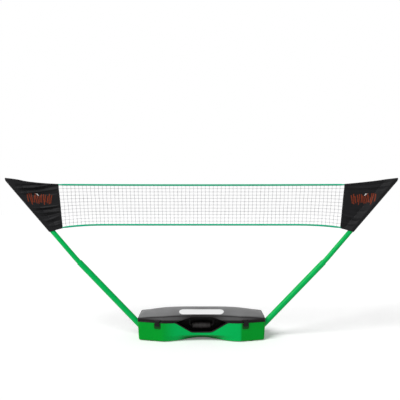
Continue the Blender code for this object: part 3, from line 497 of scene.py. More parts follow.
def prism_patches(outline, low, high, place=None):
    """Prism of an anticlockwise outline in y and z between two values of x, moved by a 4x4 matrix."""
    outline = np.asarray(outline, float)
    rings = [np.column_stack([np.full(len(outline), x), outline]) for x in (low, high)]
    points = np.stack(rings)
    if place is not None:
        points = moved(points, place)
    length = float(np.linalg.norm(np.diff(outline, axis=0), axis=1).sum())
    wall = grid_patch(points, closed=True, size=(length, high - low))
    return [wall, fan_patch(points[0], flip=True), fan_patch(points[1])]


def moved(points, place):
    """Points through a 4x4 matrix."""
    return np.asarray(points, float) @ place[:3, :3].T + place[:3, 3]


def arc(centre, radius, start, end, steps):
    """Points of an arc in a plane: centre + r (cos a, sin a)."""
    angle = np.linspace(start, end, steps + 1)
    return np.column_stack([centre[0] + radius * np.cos(angle), centre[1] + radius * np.sin(angle)])


def smooth_step(value, low, high):
    """0 below low, 1 above high, and t t (3 - 2 t) between them."""
    t = np.clip((value - low) / (high - low), 0, 1)
    return t * t * (3 - 2 * t)


# Finishes


class Finish:
    """Node material on a Principled shader, built from left to right."""

    def __init__(self, name, colour, roughness, **sockets):
        self.material = bpy.data.materials.new(name)
        self.material.use_nodes = True
        self.tree = self.material.node_tree
        self.shader = self.tree.nodes["Principled BSDF"]
        self.shader.inputs["Base Color"].default_value = (*colour, 1)
        self.shader.inputs["Roughness"].default_value = roughness
        for socket, value in sockets.items():
            self.shader.inputs[socket.replace("_", " ")].default_value = value
        self.place = self.tree.nodes.new("ShaderNodeTexCoord")

    def node(self, kind, links=(), **settings):
        """Node with its settings, where links is input: output or number."""
        node = self.tree.nodes.new(f"ShaderNode{kind}")
        for key, value in settings.items():
            setattr(node, key, value)
        for key, value in dict(links).items():
            self.plug(node.inputs[key], value)
        return node

    def plug(self, socket, value):
        """Link an output to a socket, or set the socket to a plain value."""
        if isinstance(value, bpy.types.NodeSocket):
            self.tree.links.new(value, socket)
        else:
            socket.default_value = value

    def stretched(self, source, scale):
        """Coordinates from a source, stretched by a scale on each axis."""
        mapping = self.node("Mapping", {"Vector": self.place.outputs[source], "Scale": scale})
        return mapping.outputs["Vector"]

    def turned(self, source, angle):
        """Coordinates from a source, turned about z by an angle."""
        mapping = self.node("Mapping", {"Vector": self.place.outputs[source], "Rotation": (0, 0, angle)})
        return mapping.outputs["Vector"]

    def noise(self, vector, scale, detail=2.0, rough=0.5):
        """Soft noise from 0 to 1."""
        links = {"Vector": vector, "Scale": scale, "Detail": detail, "Roughness": rough}
        return self.node("TexNoise", links).outputs["Fac"]

    def wave(self, vector, scale, direction, distortion=0.0):
        """Sine bands along one axis."""
        links = {"Vector": vector, "Scale": scale, "Distortion": distortion}
        return self.node("TexWave", links, wave_type="BANDS", bands_direction=direction).outputs["Fac"]

    def spread(self, value, low, high, start=0.3, end=0.7):
        """Value from start to end laid over low to high."""
        links = {"Value": value, "From Min": start, "From Max": end, "To Min": low, "To Max": high}
        return self.node("MapRange", links).outputs["Result"]

    def joined(self, operation, first, second):
        """Two values through one operation of arithmetic."""
        return self.node("Math", {0: first, 1: second}, operation=operation).outputs[0]

    def tint(self, factor, first, second):
        """Base colour between two colours; inputs 6 and 7 and output 2 of a Mix node are its colours."""
        pair = [(*value, 1) if isinstance(value, tuple) else value for value in (first, second)]
        mixed = self.node("Mix", {0: factor, 6: pair[0], 7: pair[1]}, data_type="RGBA").outputs[2]
        self.tree.links.new(mixed, self.shader.inputs["Base Color"])
        return mixed

    def rough(self, value):
        """Roughness that changes over the surface."""
        self.tree.links.new(value, self.shader.inputs["Roughness"])

    def bump(self, *heights):
        """Bumps from pairs of a height and its depth in metres, one on top of the other."""
        normal = None
        for height, depth in heights:
            links = {"Height": height, "Strength": 1.0, "Distance": depth}
            if normal is not None:
                links["Normal"] = normal
            normal = self.node("Bump", links).outputs["Normal"]
        self.tree.links.new(normal, self.shader.inputs["Normal"])


def shade(colour, share):
    """Colour made lighter or darker by a share."""
    return tuple(min(1.0, channel * share) for channel in colour)


def moulded_plastic(name, colour, roughness, grain, spread=0.10, worn=None, hollow=None, **sockets):
    """Injection-moulded plastic: fine grain, clouds of tone, rubbed gloss, and two more tones by attribute:
    a painted light colour on the hollows and a painted shade colour.
    """
    finish = Finish(name, colour, roughness, **{"Specular_IOR_Level": 0.14, **sockets})
    spot = finish.place.outputs["Object"]
    cloud = finish.noise(spot, 9.0, 3.0)
    tone = finish.tint(finish.spread(cloud, 0.0, 1.0), shade(colour, 1 - spread), shade(colour, 1 + spread))
    # Painted light: the lighter hollow colour where the attribute hollow is 1.
    if hollow is not None:
        tone = finish.tint(finish.node("Attribute", attribute_name="hollow").outputs["Fac"], tone, hollow)
    # Painted shade: a darker colour where the attribute tone is 1.
    if worn is not None:
        finish.tint(finish.node("Attribute", attribute_name="tone").outputs["Fac"], tone, worn)
    rub = finish.noise(finish.stretched("Object", (30, 60, 90)), 1.0, 4.0, 0.6)
    finish.rough(finish.spread(rub, roughness - 0.06, roughness + 0.07))
    finish.bump((finish.noise(spot, 900.0, 2.0), grain), (cloud, grain * 2))
    return finish.material


def coated_tube(name, colour):
    """Painted tube: faint drawing lines along it and a soft orange peel."""
    finish = Finish(name, colour, 0.36, Coat_Weight=0.03, Coat_Roughness=0.2, Specular_IOR_Level=0.06)
    lines = finish.noise(finish.stretched("UV", (900, 6, 1)), 1.0, 3.0)
    cloud = finish.noise(finish.place.outputs["Object"], 24.0, 2.0)
    finish.tint(finish.spread(cloud, 0.0, 1.0), shade(colour, 0.93), shade(colour, 1.06))
    finish.rough(finish.spread(lines, 0.27, 0.40))
    finish.bump((lines, 0.00002), (finish.noise(finish.place.outputs["Object"], 320.0), 0.00006))
    return finish.material


def rubber(name, colour):
    """Soft rubber with a matt bloom and fine pits."""
    finish = Finish(name, colour, 0.62, Specular_IOR_Level=0.25)
    spot = finish.place.outputs["Object"]
    bloom = finish.noise(spot, 60.0, 4.0, 0.65)
    finish.tint(finish.spread(bloom, 0.0, 1.0), colour, shade(colour, 2.2))
    finish.rough(finish.spread(bloom, 0.52, 0.70))
    finish.bump((finish.noise(spot, 1500.0), 0.00010))
    return finish.material


def drawn_steel(name, colour):
    """Bare wire pin with fine drawing lines."""
    finish = Finish(name, colour, 0.3, Metallic=1.0)
    lines = finish.noise(finish.stretched("Object", (20, 1400, 1400)), 1.0, 3.0)
    finish.rough(finish.spread(lines, 0.2, 0.42))
    finish.bump((lines, 0.00002))
    return finish.material


def worn_ink(name, colour):
    """Screen-printed ink, a little cracked where the cloth's threads show through."""
    finish = Finish(name, colour, 0.6, Specular_IOR_Level=0.15)
    crack = finish.noise(finish.place.outputs["Object"], 520.0, 3.0, 0.6)
    finish.tint(finish.spread(crack, 0.0, 1.0, 0.36, 0.52), shade(colour, 0.12), colour)
    finish.bump((crack, 0.0001))
    return finish.material


def woven_cloth(name, colour):
    """Plain-weave polyester: warp and weft waves on the UV map, crinkles and a grey sheen."""
    finish = Finish(name, colour, 0.55, Sheen_Weight=0.05, Sheen_Roughness=0.4, Specular_IOR_Level=0.14)
    finish.shader.inputs["Sheen Tint"].default_value = (0.5, 0.51, 0.54, 1)
    threads = finish.place.outputs["UV"]
    warp = finish.wave(threads, 330.0, "X")
    weft = finish.wave(threads, 330.0, "Y")
    weave = finish.joined("MAXIMUM", warp, weft)
    cloud = finish.noise(finish.place.outputs["Object"], 26.0, 3.0)
    tone = finish.spread(cloud, 0.0, 1.0)
    finish.tint(tone, shade(colour, 0.55), shade(colour, 1.25))
    crinkle = finish.noise(finish.stretched("Object", (18, 18, 60)), 1.0, 4.0, 0.55)
    finish.bump((crinkle, 0.0014), (weave, 0.00012))
    return finish.material


def braided_cord(name, colour):
    """Braided cord: two families of strands that cross on its surface."""
    finish = Finish(name, colour, 0.66, Specular_IOR_Level=0.12)
    families = [finish.wave(finish.turned("UV", turn), 130.0, "X") for turn in (0.62, -0.62)]
    braid = finish.joined("MAXIMUM", *families)
    # Painted shade in the grooves between strands and painted light on their crowns, by the same braid
    # height as the bump.
    finish.tint(finish.spread(braid, 0.0, 1.0, 0.2, 0.9), shade(colour, 0.6), shade(colour, 1.25))
    finish.bump((braid, 0.0006))
    return finish.material


def twisted_strand(name, colour):
    """Net strand: a fine twist and a slightly dusty tone."""
    finish = Finish(name, colour, 0.7)
    twist = finish.wave(finish.turned("UV", 0.7), 420.0, "X")
    dust = finish.noise(finish.place.outputs["Object"], 14.0, 3.0)
    finish.tint(finish.spread(dust, 0.0, 1.0), shade(colour, 0.8), shade(colour, 1.2))
    finish.bump((twist, 0.0002))
    return finish.material


FINISHES = {}


def finish_of(name):
    """Named finish, made once from the settings."""
    if name in FINISHES:
        return FINISHES[name]
    settings = bpy.context.scene.net_set
    case = settings.case
    shell, lid, dark = tuple(case.shell), tuple(case.lid), tuple(case.dark)
    cloth, grain = tuple(settings.panel.cloth), case.grain
    # Painted shade under the shell's front lip, a darkened copy of the shell green, and painted light on
    # its waist.
    looks = {"worn": shade(shell, 0.3), "hollow": tuple(case.hollow), "Specular_IOR_Level": 0.05}
    makers = {
        "shell": lambda: moulded_plastic("green_shell", shell, 0.40, grain, 0.05, **looks),
        # Painted shade: the shell green darkened for the keeper frames, for the shadow round the tabs.
        "shell_painted_shade": lambda: moulded_plastic("frame_plastic", shade(shell, 0.22), 0.4, grain),
        # The lid's painted shade takes the dark colour.
        "lid": lambda: moulded_plastic("lid_grain", lid, 0.44, grain * 1.6, 0.12, worn=dark),
        "dark": lambda: moulded_plastic("dark_plastic", dark, 0.38, grain, 0.3),
        "plate": lambda: moulded_plastic("bare_plate", tuple(case.plate), 0.32, grain * 0.3, 0.015),
        "rubber": lambda: rubber("foot_rubber", (0.012, 0.012, 0.012)),
        "grip": lambda: rubber("grip_rubber", (0.016, 0.014, 0.014)),
        "steel": lambda: drawn_steel("pin_steel", (0.6, 0.6, 0.61)),
        "tube": lambda: coated_tube("coated_tube", tuple(settings.pole.coat)),
        "cloth": lambda: woven_cloth("panel_cloth", cloth),
        "tape": lambda: woven_cloth("edge_tape", shade(cloth, 0.7)),
        "thread": lambda: rubber("sewing_thread", (0.05, 0.05, 0.055)),
        "print": lambda: worn_ink("stripe_ink", tuple(settings.panel.accent)),
        "accent": lambda: worn_ink("accent_ink", (0.72, 0.72, 0.70)),
        "cord": lambda: braided_cord("braided_cord", tuple(settings.net.cord)),
        "strand": lambda: twisted_strand("net_strand", tuple(settings.net.mesh)),
    }
    FINISHES[name] = makers[name]()
    return FINISHES[name]


def dress(node, name):
    """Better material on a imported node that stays."""
    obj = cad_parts[node]
    obj.data.materials.clear()
    obj.data.materials.append(finish_of(name))


# Shape of the case


def wall_depth(x, waist, inset=0.0):
    """Waist plus a raised cosine up to the bulge, then a straight facet; less the inset."""
    x = np.abs(x)
    bulged = waist + (BULGE_DEPTH - waist) * (0.5 - 0.5 * np.cos(np.pi * np.minimum(x, BULGE_X) / BULGE_X))
    return np.where(x < BULGE_X, bulged, BULGE_DEPTH - FACET_SLOPE * (x - BULGE_X)) - inset


def quarter_outline(waist, inset):
    """Half of the front or back wall from the middle, past the window's corners, then the rounded end."""
    corners = [WINDOW_LIP_HALF, WINDOW_TOP_HALF, WINDOW_HALF]
    inner = np.unique(np.concatenate([np.linspace(0, BULGE_X, WAIST_STEPS), corners]))
    centre_x = CASE_LENGTH / 2 - inset - CORNER_RADIUS
    centre_y = wall_depth(centre_x, waist, inset) - CORNER_RADIUS / math.cos(FACET_LEAN)
    arc_x = centre_x + CORNER_RADIUS * math.sin(FACET_LEAN)
    x = np.concatenate([inner, np.linspace(BULGE_X, arc_x, FACET_STEPS)[1:]])
    flat = np.column_stack([x, wall_depth(x, waist, inset)])
    corner = arc((centre_x, centre_y), CORNER_RADIUS, math.pi / 2 - FACET_LEAN, 0, CORNER_STEPS)
    return np.concatenate([flat, corner[1:]])


def case_outline(front_waist, back_waist, inset):
    """Outline from above, anticlockwise from the middle of the front."""
    front = quarter_outline(front_waist, inset) * [1, -1]
    back = quarter_outline(back_waist, inset)
    right = np.concatenate([front, back[::-1]])
    left = right[-2:0:-1] * [-1, 1]
    return np.concatenate([right, left])


def crease(x):
    """Crease between the lid's skirt and top: a parabola along the case."""
    return LID_RIM + SKIRT_HEIGHT + CREASE_RISE * (1 - (2 * x / CASE_LENGTH) ** 2)


def crown(x):
    """Middle line of the lid: its top less a power of the distance from the middle."""
    top = LID_RIM + SKIRT_HEIGHT + CREASE_RISE + DOME_RISE
    return top - CROWN_DROP * np.abs(2 * x / CASE_LENGTH) ** CROWN_POWER


def dome_height(x, y):
    """Lid's top: crease plus the crown's rise times one less the square of the depth's share."""
    share = np.minimum(1, np.abs(y) / wall_depth(x, LID_WAIST, SKIRT_LEAN + LEDGE))
    return crease(x) + (crown(x) - crease(x)) * (1 - share**2)


def base_lean(z):
    """Inset of the base's wall at a height, by its draft."""
    return DRAFT * (RIM_HEIGHT - z) / RIM_HEIGHT


def underside(x):
    """Rise of the floor under the middle: a squared cosine."""
    inside = np.abs(x) < ARCH_HALF
    return np.where(inside, ARCH_RISE * np.cos(np.pi * x / ARCH_HALF / 2) ** 2, 0)


def window_edge(x, y, half, end):
    """Height of the window's edge on the front: a softened straight ramp from its end to the seam."""
    share = (np.abs(x) - half) / (WINDOW_HALF - half)
    share = (share + np.sqrt(share**2 + WINDOW_SOFT**2)) / 2
    share = 1 - (1 - share + np.sqrt((1 - share) ** 2 + WINDOW_SOFT**2)) / 2
    return np.where(y < 0, end + (SEAM - end) * share, SEAM)


def base_rim(x, y):
    """Top of the base's wall: the rim, or the lower half of the window."""
    return np.minimum(RIM_HEIGHT, window_edge(x, y, WINDOW_LIP_HALF, WINDOW_LIP))


def lid_rim(x, y):
    """Bottom of the lid's wall: its rim, or the upper half of the window."""
    return np.maximum(LID_RIM, window_edge(x, y, WINDOW_TOP_HALF, crease(0) - WINDOW_TOP_BAND))


def strips(points):
    """Faces between the front and the back half of a ring, station by station, seen from below."""
    count = len(points)
    i = np.arange(count // 4)
    half = count // 2
    right = np.stack([i, i + 1, half - i - 1, half - i], axis=-1)
    left = np.stack([count - i - 1, (count - i) % count, half + i, half + i + 1], axis=-1)
    faces = np.concatenate([right, left])[:, ::-1]
    return points, faces, points[faces.ravel()][:, :2]


def leaning_outline(front_waist):
    """Outline from above, and the way that each of its points goes for each metre of inset."""
    flat = case_outline(front_waist, BACK_WAIST, 0.0)
    return flat, (case_outline(front_waist, BACK_WAIST, 0.01) - flat) / 0.01


def leaning_ring(flat, lean, inset, z):
    """Outline in space, moved in by an inset, where inset and height are numbers or one for each point."""
    flat = flat + lean * np.broadcast_to(inset, len(flat))[:, None]
    return np.column_stack([flat[:, 0], flat[:, 1] + PLANE_Y, np.broadcast_to(z, len(flat))])


def base_rows():
    """Tub of the base from the floor's edge to the rim: floor bend, leaning foot, lip, wall."""
    rows = []
    flat, lean = leaning_outline(FLOOR_WAIST)
    for turn in np.linspace(0, np.pi / 2, 5):
        low = FOOT_HEIGHT + FLOOR_ROUND * (1 - math.cos(turn))
        inset = base_lean(low) + FLOOR_ROUND * (1 - math.sin(turn))
        rows.append(leaning_ring(flat, lean, inset, low + underside(flat[:, 0])))
    foot = FOOT_HEIGHT + FLOOR_ROUND
    for share in (0.25, 0.5, 0.75, 0.94):
        flat, lean = leaning_outline(FLOOR_WAIST + (BASE_WAIST - FLOOR_WAIST) * share)
        z = foot + (LIP_HEIGHT - foot) * share + underside(flat[:, 0]) * (1 - share)
        rows.append(leaning_ring(flat, lean, base_lean(z), z))
    flat, lean = leaning_outline(BASE_WAIST)
    rim = base_rim(flat[:, 0], flat[:, 1])
    for share in np.concatenate([[0.03], np.linspace(0.1, 1, 12)]):
        z = LIP_HEIGHT + (rim - LIP_HEIGHT) * share
        rows.append(leaning_ring(flat, lean, base_lean(z), z))
    return np.stack(rows)


def lid_lean(x, z):
    """Inset of the lid's wall: none over the band, then straight up to the crease."""
    band = LID_RIM + BAND_HEIGHT
    return SKIRT_LEAN * np.clip((z - band) / (crease(x) - band), 0, 1)


def lid_rows():
    """Lid from its rim to its spine: band and skirt, groove at the crease, dome."""
    rows = []
    flat, lean = leaning_outline(LID_WAIST)
    rim, fold = lid_rim(flat[:, 0], flat[:, 1]), crease(flat[:, 0])
    for share in np.linspace(0, 1, 14):
        z = rim + (fold - rim) * share
        rows.append(leaning_ring(flat, lean, lid_lean(flat[:, 0], z), z))
    for step, drop in ((0.0005, GROOVE), (0.0019, GROOVE), (0.0024, 0.0)):
        rows.append(leaning_ring(flat, lean, SKIRT_LEAN + step, fold - drop))
    edge = leaning_ring(flat, lean, SKIRT_LEAN + LEDGE, fold)
    spine = np.clip(edge[:, 0], -SPINE_HALF, SPINE_HALF)
    for t in np.cos(np.linspace(0, np.pi / 2, 22)):
        x = spine + (edge[:, 0] - spine) * t
        y = PLANE_Y + (edge[:, 1] - PLANE_Y) * t
        rows.append(np.column_stack([x, y, edge[:, 2] + (crown(spine) - edge[:, 2]) * (1 - t**2)]))
    return np.stack(rows)


def latch_place(side):
    """4x4 matrix of the latch's frame at the seam: x along the facet, -y out of it, z up the wall."""
    turn, lean = side * FACET_LEAN, math.atan(DRAFT / RIM_HEIGHT)
    c, s = math.cos(turn), math.sin(turn)
    about_z = np.array([[c, -s, 0], [s, c, 0], [0, 0, 1]])
    c, s = math.cos(lean), math.sin(lean)
    about_x = np.array([[1, 0, 0], [0, c, -s], [0, s, c]])
    place = np.eye(4)
    place[:3, :3] = about_z @ about_x
    place[:3, 3] = (side * LATCH_X, PLANE_Y - float(wall_depth(LATCH_X, LID_WAIST)), SEAM)
    return place


def knuckle_patches(span, leaf, around):
    """Hinge barrel with a leaf into the wall, between two values of x."""
    centre = (HINGE_AXIS_Y + PLANE_Y, SEAM)
    root = BULGE_DEPTH - HINGE_SINK + PLANE_Y
    barrel = arc(centre, HINGE_RADIUS, around[0], around[1], 28)
    outline = np.concatenate([[(root, leaf[0])], barrel, [(root, leaf[1])]])
    return prism_patches(outline, span[0], span[1])


def paint_tone(mesh, tone, name="tone"):
    """Store a tone from 0 to 1 at each point, as a function of x, y and z."""
    points = np.empty(len(mesh.vertices) * 3)
    mesh.vertices.foreach_get("co", points)
    x, y, z = points.reshape(-1, 3).T
    attribute = mesh.attributes.new(name, "FLOAT", "POINT")
    attribute.data.foreach_set("value", tone(x, y - PLANE_Y, z).astype(np.float32))


def painted_foot_shade(x, y, z):
    """Painted shade, dark under the lip of the front wall, where it leans in to the floor."""
    under = 1 - smooth_step(z, LIP_HEIGHT - 0.003, LIP_HEIGHT - 0.0005)
    middle = 1 - smooth_step(np.abs(x), 0.07, 0.13)
    return 0.7 * under * middle * (y < 0)


def painted_waist_light(x, y, z):
    """Painted light: 1 on the hollows, painted a lighter green, and 0 on the facets past the bulge: sharp
    on the right, soft on the left.
    """
    right = smooth_step(x, BULGE_X, BULGE_X + 0.004)
    left = smooth_step(-x, BULGE_X - 0.09, BULGE_X + 0.024)
    return 1 - np.where(x > 0, right, left)


def painted_lid_shade(x, y, z):
    """Painted shade: darkest in the groove and on the band, fading up the skirt, more over the bay and at
    the ends; none on the dome.
    """
    edge = z - crease(x) + 0.012 * np.abs(2 * x / CASE_LENGTH) ** 3 * (y < 0)
    skirt = 1 - smooth_step(edge, -0.0022, 0.0006)
    over_bay = 1 - smooth_step(np.abs(x), WINDOW_TOP_HALF, WINDOW_HALF)
    groove = np.exp(-(((edge + 0.0022) / 0.0042) ** 2))
    ends = smooth_step(np.abs(x), 0.20, 0.33)
    band = 1 - smooth_step(z, LID_RIM + BAND_HEIGHT - 0.001, LID_RIM + BAND_HEIGHT + 0.004)
    shaded = skirt * (0.60 + 0.35 * np.maximum(over_bay * (y < 0), ends))
    return np.maximum(np.maximum(shaded, groove), band)


class NETSET_OT_case_base(Operator):
    """Green tub of the case with its hinge knuckles and sockets"""

    bl_idname = "netset.case_base"
    bl_label = "Case Base"

    def execute(self, context):
        rows = base_rows()
        patches = [grid_patch(rows, closed=True, size=(2.0, 0.15)), strips(rows[0])]
        tub = piece("case_tub", patches, "shell", "case", ["base_shell"], MERGE)
        # Painted shade under the front lip.
        paint_tone(tub.data, painted_foot_shade)
        # Painted light on the waist's hollows.
        paint_tone(tub.data, painted_waist_light, "hollow")
        add_wall(tub, WALL)
        self.pole_holes(tub)
        add_round(tub, 0.0007)
        knuckles = []
        leaf = (RIM_HEIGHT - HINGE_LEAF, RIM_HEIGHT)
        for side in SIDES.values():
            for way in (-1, 1):
                span = sorted(side * HINGE_X + way * reach for reach in BASE_KNUCKLE_REACH)
                knuckles += knuckle_patches(span, leaf, (math.radians(-30), math.radians(230)))
        barrels = piece("case_hinge_leaves", knuckles, "shell", "case")
        add_round(barrels, 0.0004)
        for name in SIDES:
            dress(f"pole_socket_{name}", "shell")
            dress(f"hinge_pin_{name}", "steel")
            for row in ("front", "back"):
                dress(f"pole_clip_{row}_{name}", "dark")
        return {"FINISHED"}

    def pole_holes(self, tub):
        """Cut the slanted holes of both poles through the tub's walls, and keep the result as its mesh."""
        bores = []
        for side in SIDES.values():
            ends = [in_space(ENTRY + LOW_WAY * way * POLE_HOLE_REACH, side) for way in (-1, 0, 1)]
            bores += tube_patches(np.stack(ends), POLE_HOLE_RADIUS, 48)
        cutter = bpy.data.objects.new("pole_bores", mesh_from("pole_bores", bores))
        bpy.context.scene.collection.objects.link(cutter)
        cut = tub.modifiers.new("pole_bores", "BOOLEAN")
        cut.operation = "DIFFERENCE"
        cut.solver = "EXACT"
        cut.object = cutter
        walled = tub.evaluated_get(bpy.context.evaluated_depsgraph_get())
        mesh = bpy.data.meshes.new_from_object(walled)
        mesh.set_sharp_from_angle(angle=math.radians(SHARP_ANGLE))
        tub.modifiers.clear()
        old, tub.data = tub.data, mesh
        bpy.data.meshes.remove(old)
        mesh.name = tub.name
        bpy.data.meshes.remove(cutter.data)


class NETSET_OT_case_lid(Operator):
    """Domed lid with its groove, band and skirt in painted shade, hinge barrels and latch lugs"""

    bl_idname = "netset.case_lid"
    bl_label = "Case Lid"

    def execute(self, context):
        patches = [grid_patch(lid_rows(), closed=True, size=(2.0, 0.2))]
        lid = piece("case_lid", patches, "lid", "lid", ["lid_shell"], MERGE)
        # Painted shade on the lid's groove, skirt and band.
        paint_tone(lid.data, painted_lid_shade)
        add_wall(lid, WALL)
        add_round(lid, 0.0005, angle=62)
        parts = []
        leaf = (LID_RIM, LID_RIM + HINGE_LEAF)
        for side in SIDES.values():
            span = (side * HINGE_X - LID_KNUCKLE_HALF, side * HINGE_X + LID_KNUCKLE_HALF)
            parts += knuckle_patches(span, leaf, (math.radians(130), math.radians(390)))
            parts += self.lugs(latch_place(side))
        lugs = piece("lid_barrels_and_lugs", parts, "dark", "lid")
        add_round(lugs, 0.0004)
        return {"FINISHED"}

    def lugs(self, place):
        """Two round-ended lugs that carry a latch's pin, one beside each edge of its tab."""
        end = arc((-LATCH_REACH, LATCH_RISE), LATCH_BARREL, math.pi * 1.5, math.pi / 2, 16)
        low, high = (LUG_ROOT, LATCH_RISE - LATCH_BARREL), (LUG_ROOT, LATCH_RISE + LATCH_BARREL)
        outline = np.concatenate([[low], end, [high]])[::-1]
        near = LATCH_WIDTH / 2 + LUG_GAP
        patches = prism_patches(outline, -near - LUG_WIDTH, -near, place)
        return patches + prism_patches(outline, near, near + LUG_WIDTH, place)


class NETSET_OT_handle_bay(Operator):
    """Bead along the rim and the window, and the tray behind it"""

    bl_idname = "netset.handle_bay"
    bl_label = "Handle Bay"

    def execute(self, context):
        flat = case_outline(BASE_WAIST, BACK_WAIST, WALL / 2)
        x, y = flat[:, 0], flat[:, 1]
        z = np.minimum(SEAM, window_edge(x, y, WINDOW_LIP_HALF, WINDOW_LIP) + BEAD_RADIUS + BEAD_GAP)
        depth = wall_depth(x, BASE_WAIST, WALL / 2 + base_lean(np.minimum(z, RIM_HEIGHT)))
        near = (y < 0) & (np.abs(x) < BULGE_X)
        path = np.column_stack([x, np.where(near, -depth, y) + PLANE_Y, z])
        for _ in range(2):
            path = 0.25 * np.roll(path, 1, axis=0) + 0.5 * path + 0.25 * np.roll(path, -1, axis=0)
        tangent = np.roll(path, -1, axis=0) - np.roll(path, 1, axis=0)
        tangent /= np.linalg.norm(tangent, axis=1, keepdims=True)
        out = np.cross(tangent, [0.0, 0.0, 1.0])
        out /= np.linalg.norm(out, axis=1, keepdims=True)
        points = path[:, None] + BEAD_RADIUS * ring_round(out, np.cross(out, tangent), 14)
        points = np.concatenate([points, points[:1]])
        patches = [grid_patch(points, closed=True, size=(0.02, 2.0))]
        piece("rim_bead", patches, "dark", "case", ["rim_trim"], MERGE)
        dress("handle_bay_liner", "dark")
        for name in SIDES:
            dress(f"handle_ear_{name}", "dark")
        return {"FINISHED"}


class NETSET_OT_handle(Operator):
    """Bail with its ribbed grip"""

    bl_idname = "netset.handle"
    bl_label = "Handle"

    def execute(self, context):
        self.bail()
        self.grip()
        return {"FINISHED"}

    def bail(self):
        """Round wire: level through the grip, bent up at both ends, and out into the ears."""
        low = PIVOT_Z - GRIP_DROP
        turn = arc((ARM_X - BAIL_BEND, low + BAIL_BEND), BAIL_BEND, -math.pi / 2, 0, 10)
        arm = [(ARM_X, PIVOT_Z - drop) for drop in ARM_STEPS]
        knee = arc((ARM_X + KNEE_RADIUS, PIVOT_Z - KNEE_RADIUS), KNEE_RADIUS, math.pi, math.pi / 2, 8)
        stub = (ARM_X + BAIL_RADIUS + EAR_REACH, PIVOT_Z)
        half = np.concatenate([[(0, low), (0.02, low)], turn, arm, knee[1:], [stub]])
        flat = np.concatenate([half[:0:-1] * [-1, 1], half])
        path = np.column_stack([flat[:, 0], np.full(len(flat), PIVOT_Y + PLANE_Y), flat[:, 1]])
        patches = tube_patches(path, BAIL_RADIUS, 28)
        piece("carry_bail", patches, "dark", "handle", ["handle_bail"])

    def grip(self):
        """Barrel with ribs by a cosine, a taper by the square of the way along, and quarter-round ends."""
        share = np.linspace(0, 1, 90)
        along = GRIP_HALF * (1 - 2 * share)
        ribs = RIB_DEPTH * np.cos(2 * np.pi * GRIP_RIBS * (share - 0.5))
        fall = np.clip((np.abs(along) - (GRIP_HALF - GRIP_EDGE)) / GRIP_EDGE, 0, 1)
        rounding = GRIP_EDGE * (1 - np.sqrt(np.maximum(0, 1 - fall**2)))
        body = GRIP_RADIUS + ribs - GRIP_TAPER * (2 * share - 1) ** 2 - rounding
        ends = [[(BAIL_RADIUS, GRIP_HALF)], [(BAIL_RADIUS, -GRIP_HALF)]]
        profile = np.concatenate([ends[0], np.column_stack([body, along]), ends[1]])
        centre = (0.0, PIVOT_Y + PLANE_Y, PIVOT_Z - GRIP_DROP)
        patches = lathe_patches(profile[::-1], centre, (1, 0, 0), 56)
        piece("carry_grip", patches, "grip", "handle", ["handle_grip"], FINE_MERGE)


class NETSET_OT_latches(Operator):
    """Latch tabs, their pins and the U frames on the base"""

    bl_idname = "netset.latches"
    bl_label = "Latches"

    def execute(self, context):
        for name, side in SIDES.items():
            place = latch_place(side)
            self.tab(name, place)
            self.keeper(name, place)
            dress(f"latch_pin_{name}", "steel")
        return {"FINISHED"}

    def tab(self, name, place):
        """Tab with a rolled top, three finger ridges and a lifted lower lip."""
        end, shoulder = LATCH_RISE - LATCH_DROP, LATCH_RISE - TAB_SHOULDER
        barrel = arc((-LATCH_REACH, LATCH_RISE), LATCH_BARREL, -0.30 * math.pi, 1.22 * math.pi, 24)
        share = np.linspace(0, 1, 25)
        ridges = np.maximum(0, np.sin(2 * np.pi * 3 * share - 0.5 * np.pi)) * (share > 0.25)
        face_z = shoulder + (end + TAB_SHOULDER - shoulder) * share
        face = np.column_stack([TAB_OUTER - FINGER_RIDGE * ridges, face_z])
        lip = [(TAB_OUTER - TAB_LIP, end), (TAB_INNER, end)]
        hook = [(HOOK_Y, end + HOOK_RISE), (TAB_INNER, end + HOOK_TOP), (TAB_INNER, shoulder)]
        outline = np.concatenate([barrel, face, lip, hook])
        patches = prism_patches(outline, -LATCH_WIDTH / 2, LATCH_WIDTH / 2, place)
        body, nodes = f"latch_{name}", [f"latch_{name}"]
        tab = piece(f"latch_tab_{name}", patches, "dark", body, nodes)
        add_round(tab, 0.0005)

    def keeper(self, name, place):
        """U frame of rounded section with a thin back, and the catch bar across it."""
        top = RIM_HEIGHT - SEAM - KEEPER_DROP
        low = top - KEEPER_HEIGHT + KEEPER_ARM
        turn = arc((KEEPER_HALF - KEEPER_BEND, low + KEEPER_BEND), KEEPER_BEND, -math.pi / 2, 0, 10)
        half = np.concatenate([[(0.0, low)], turn, [(KEEPER_HALF, top - CATCH_DROP), (KEEPER_HALF, top)]])
        flat = np.concatenate([half[:0:-1] * [-1, 1], half])
        path = np.column_stack([flat[:, 0], np.full(len(flat), KEEPER_Y), flat[:, 1]])
        patches = tube_patches(path, KEEPER_ARM, 20, flat=0.34)
        bar = [(x, CATCH_Y, top - CATCH_DROP) for x in (-KEEPER_HALF, 0.0, KEEPER_HALF)]
        patches += tube_patches(np.array(bar), CATCH_RADIUS, 16, flat=0.4)
        rear, front = KEEPER_BACK
        back = [(rear, low), (front, low), (front, top), (rear, top)]
        patches += prism_patches(back, KEEPER_BACK_INSET - KEEPER_HALF, KEEPER_HALF - KEEPER_BACK_INSET)
        patches = [(moved(points, place), faces, uv) for points, faces, uv in patches]
        nodes = [f"latch_keeper_{name}"]
        # The frame is a real part; its dark green is painted shade of the recess round the tab.
        piece(f"latch_frame_{name}", patches, "shell_painted_shade", "case", nodes)


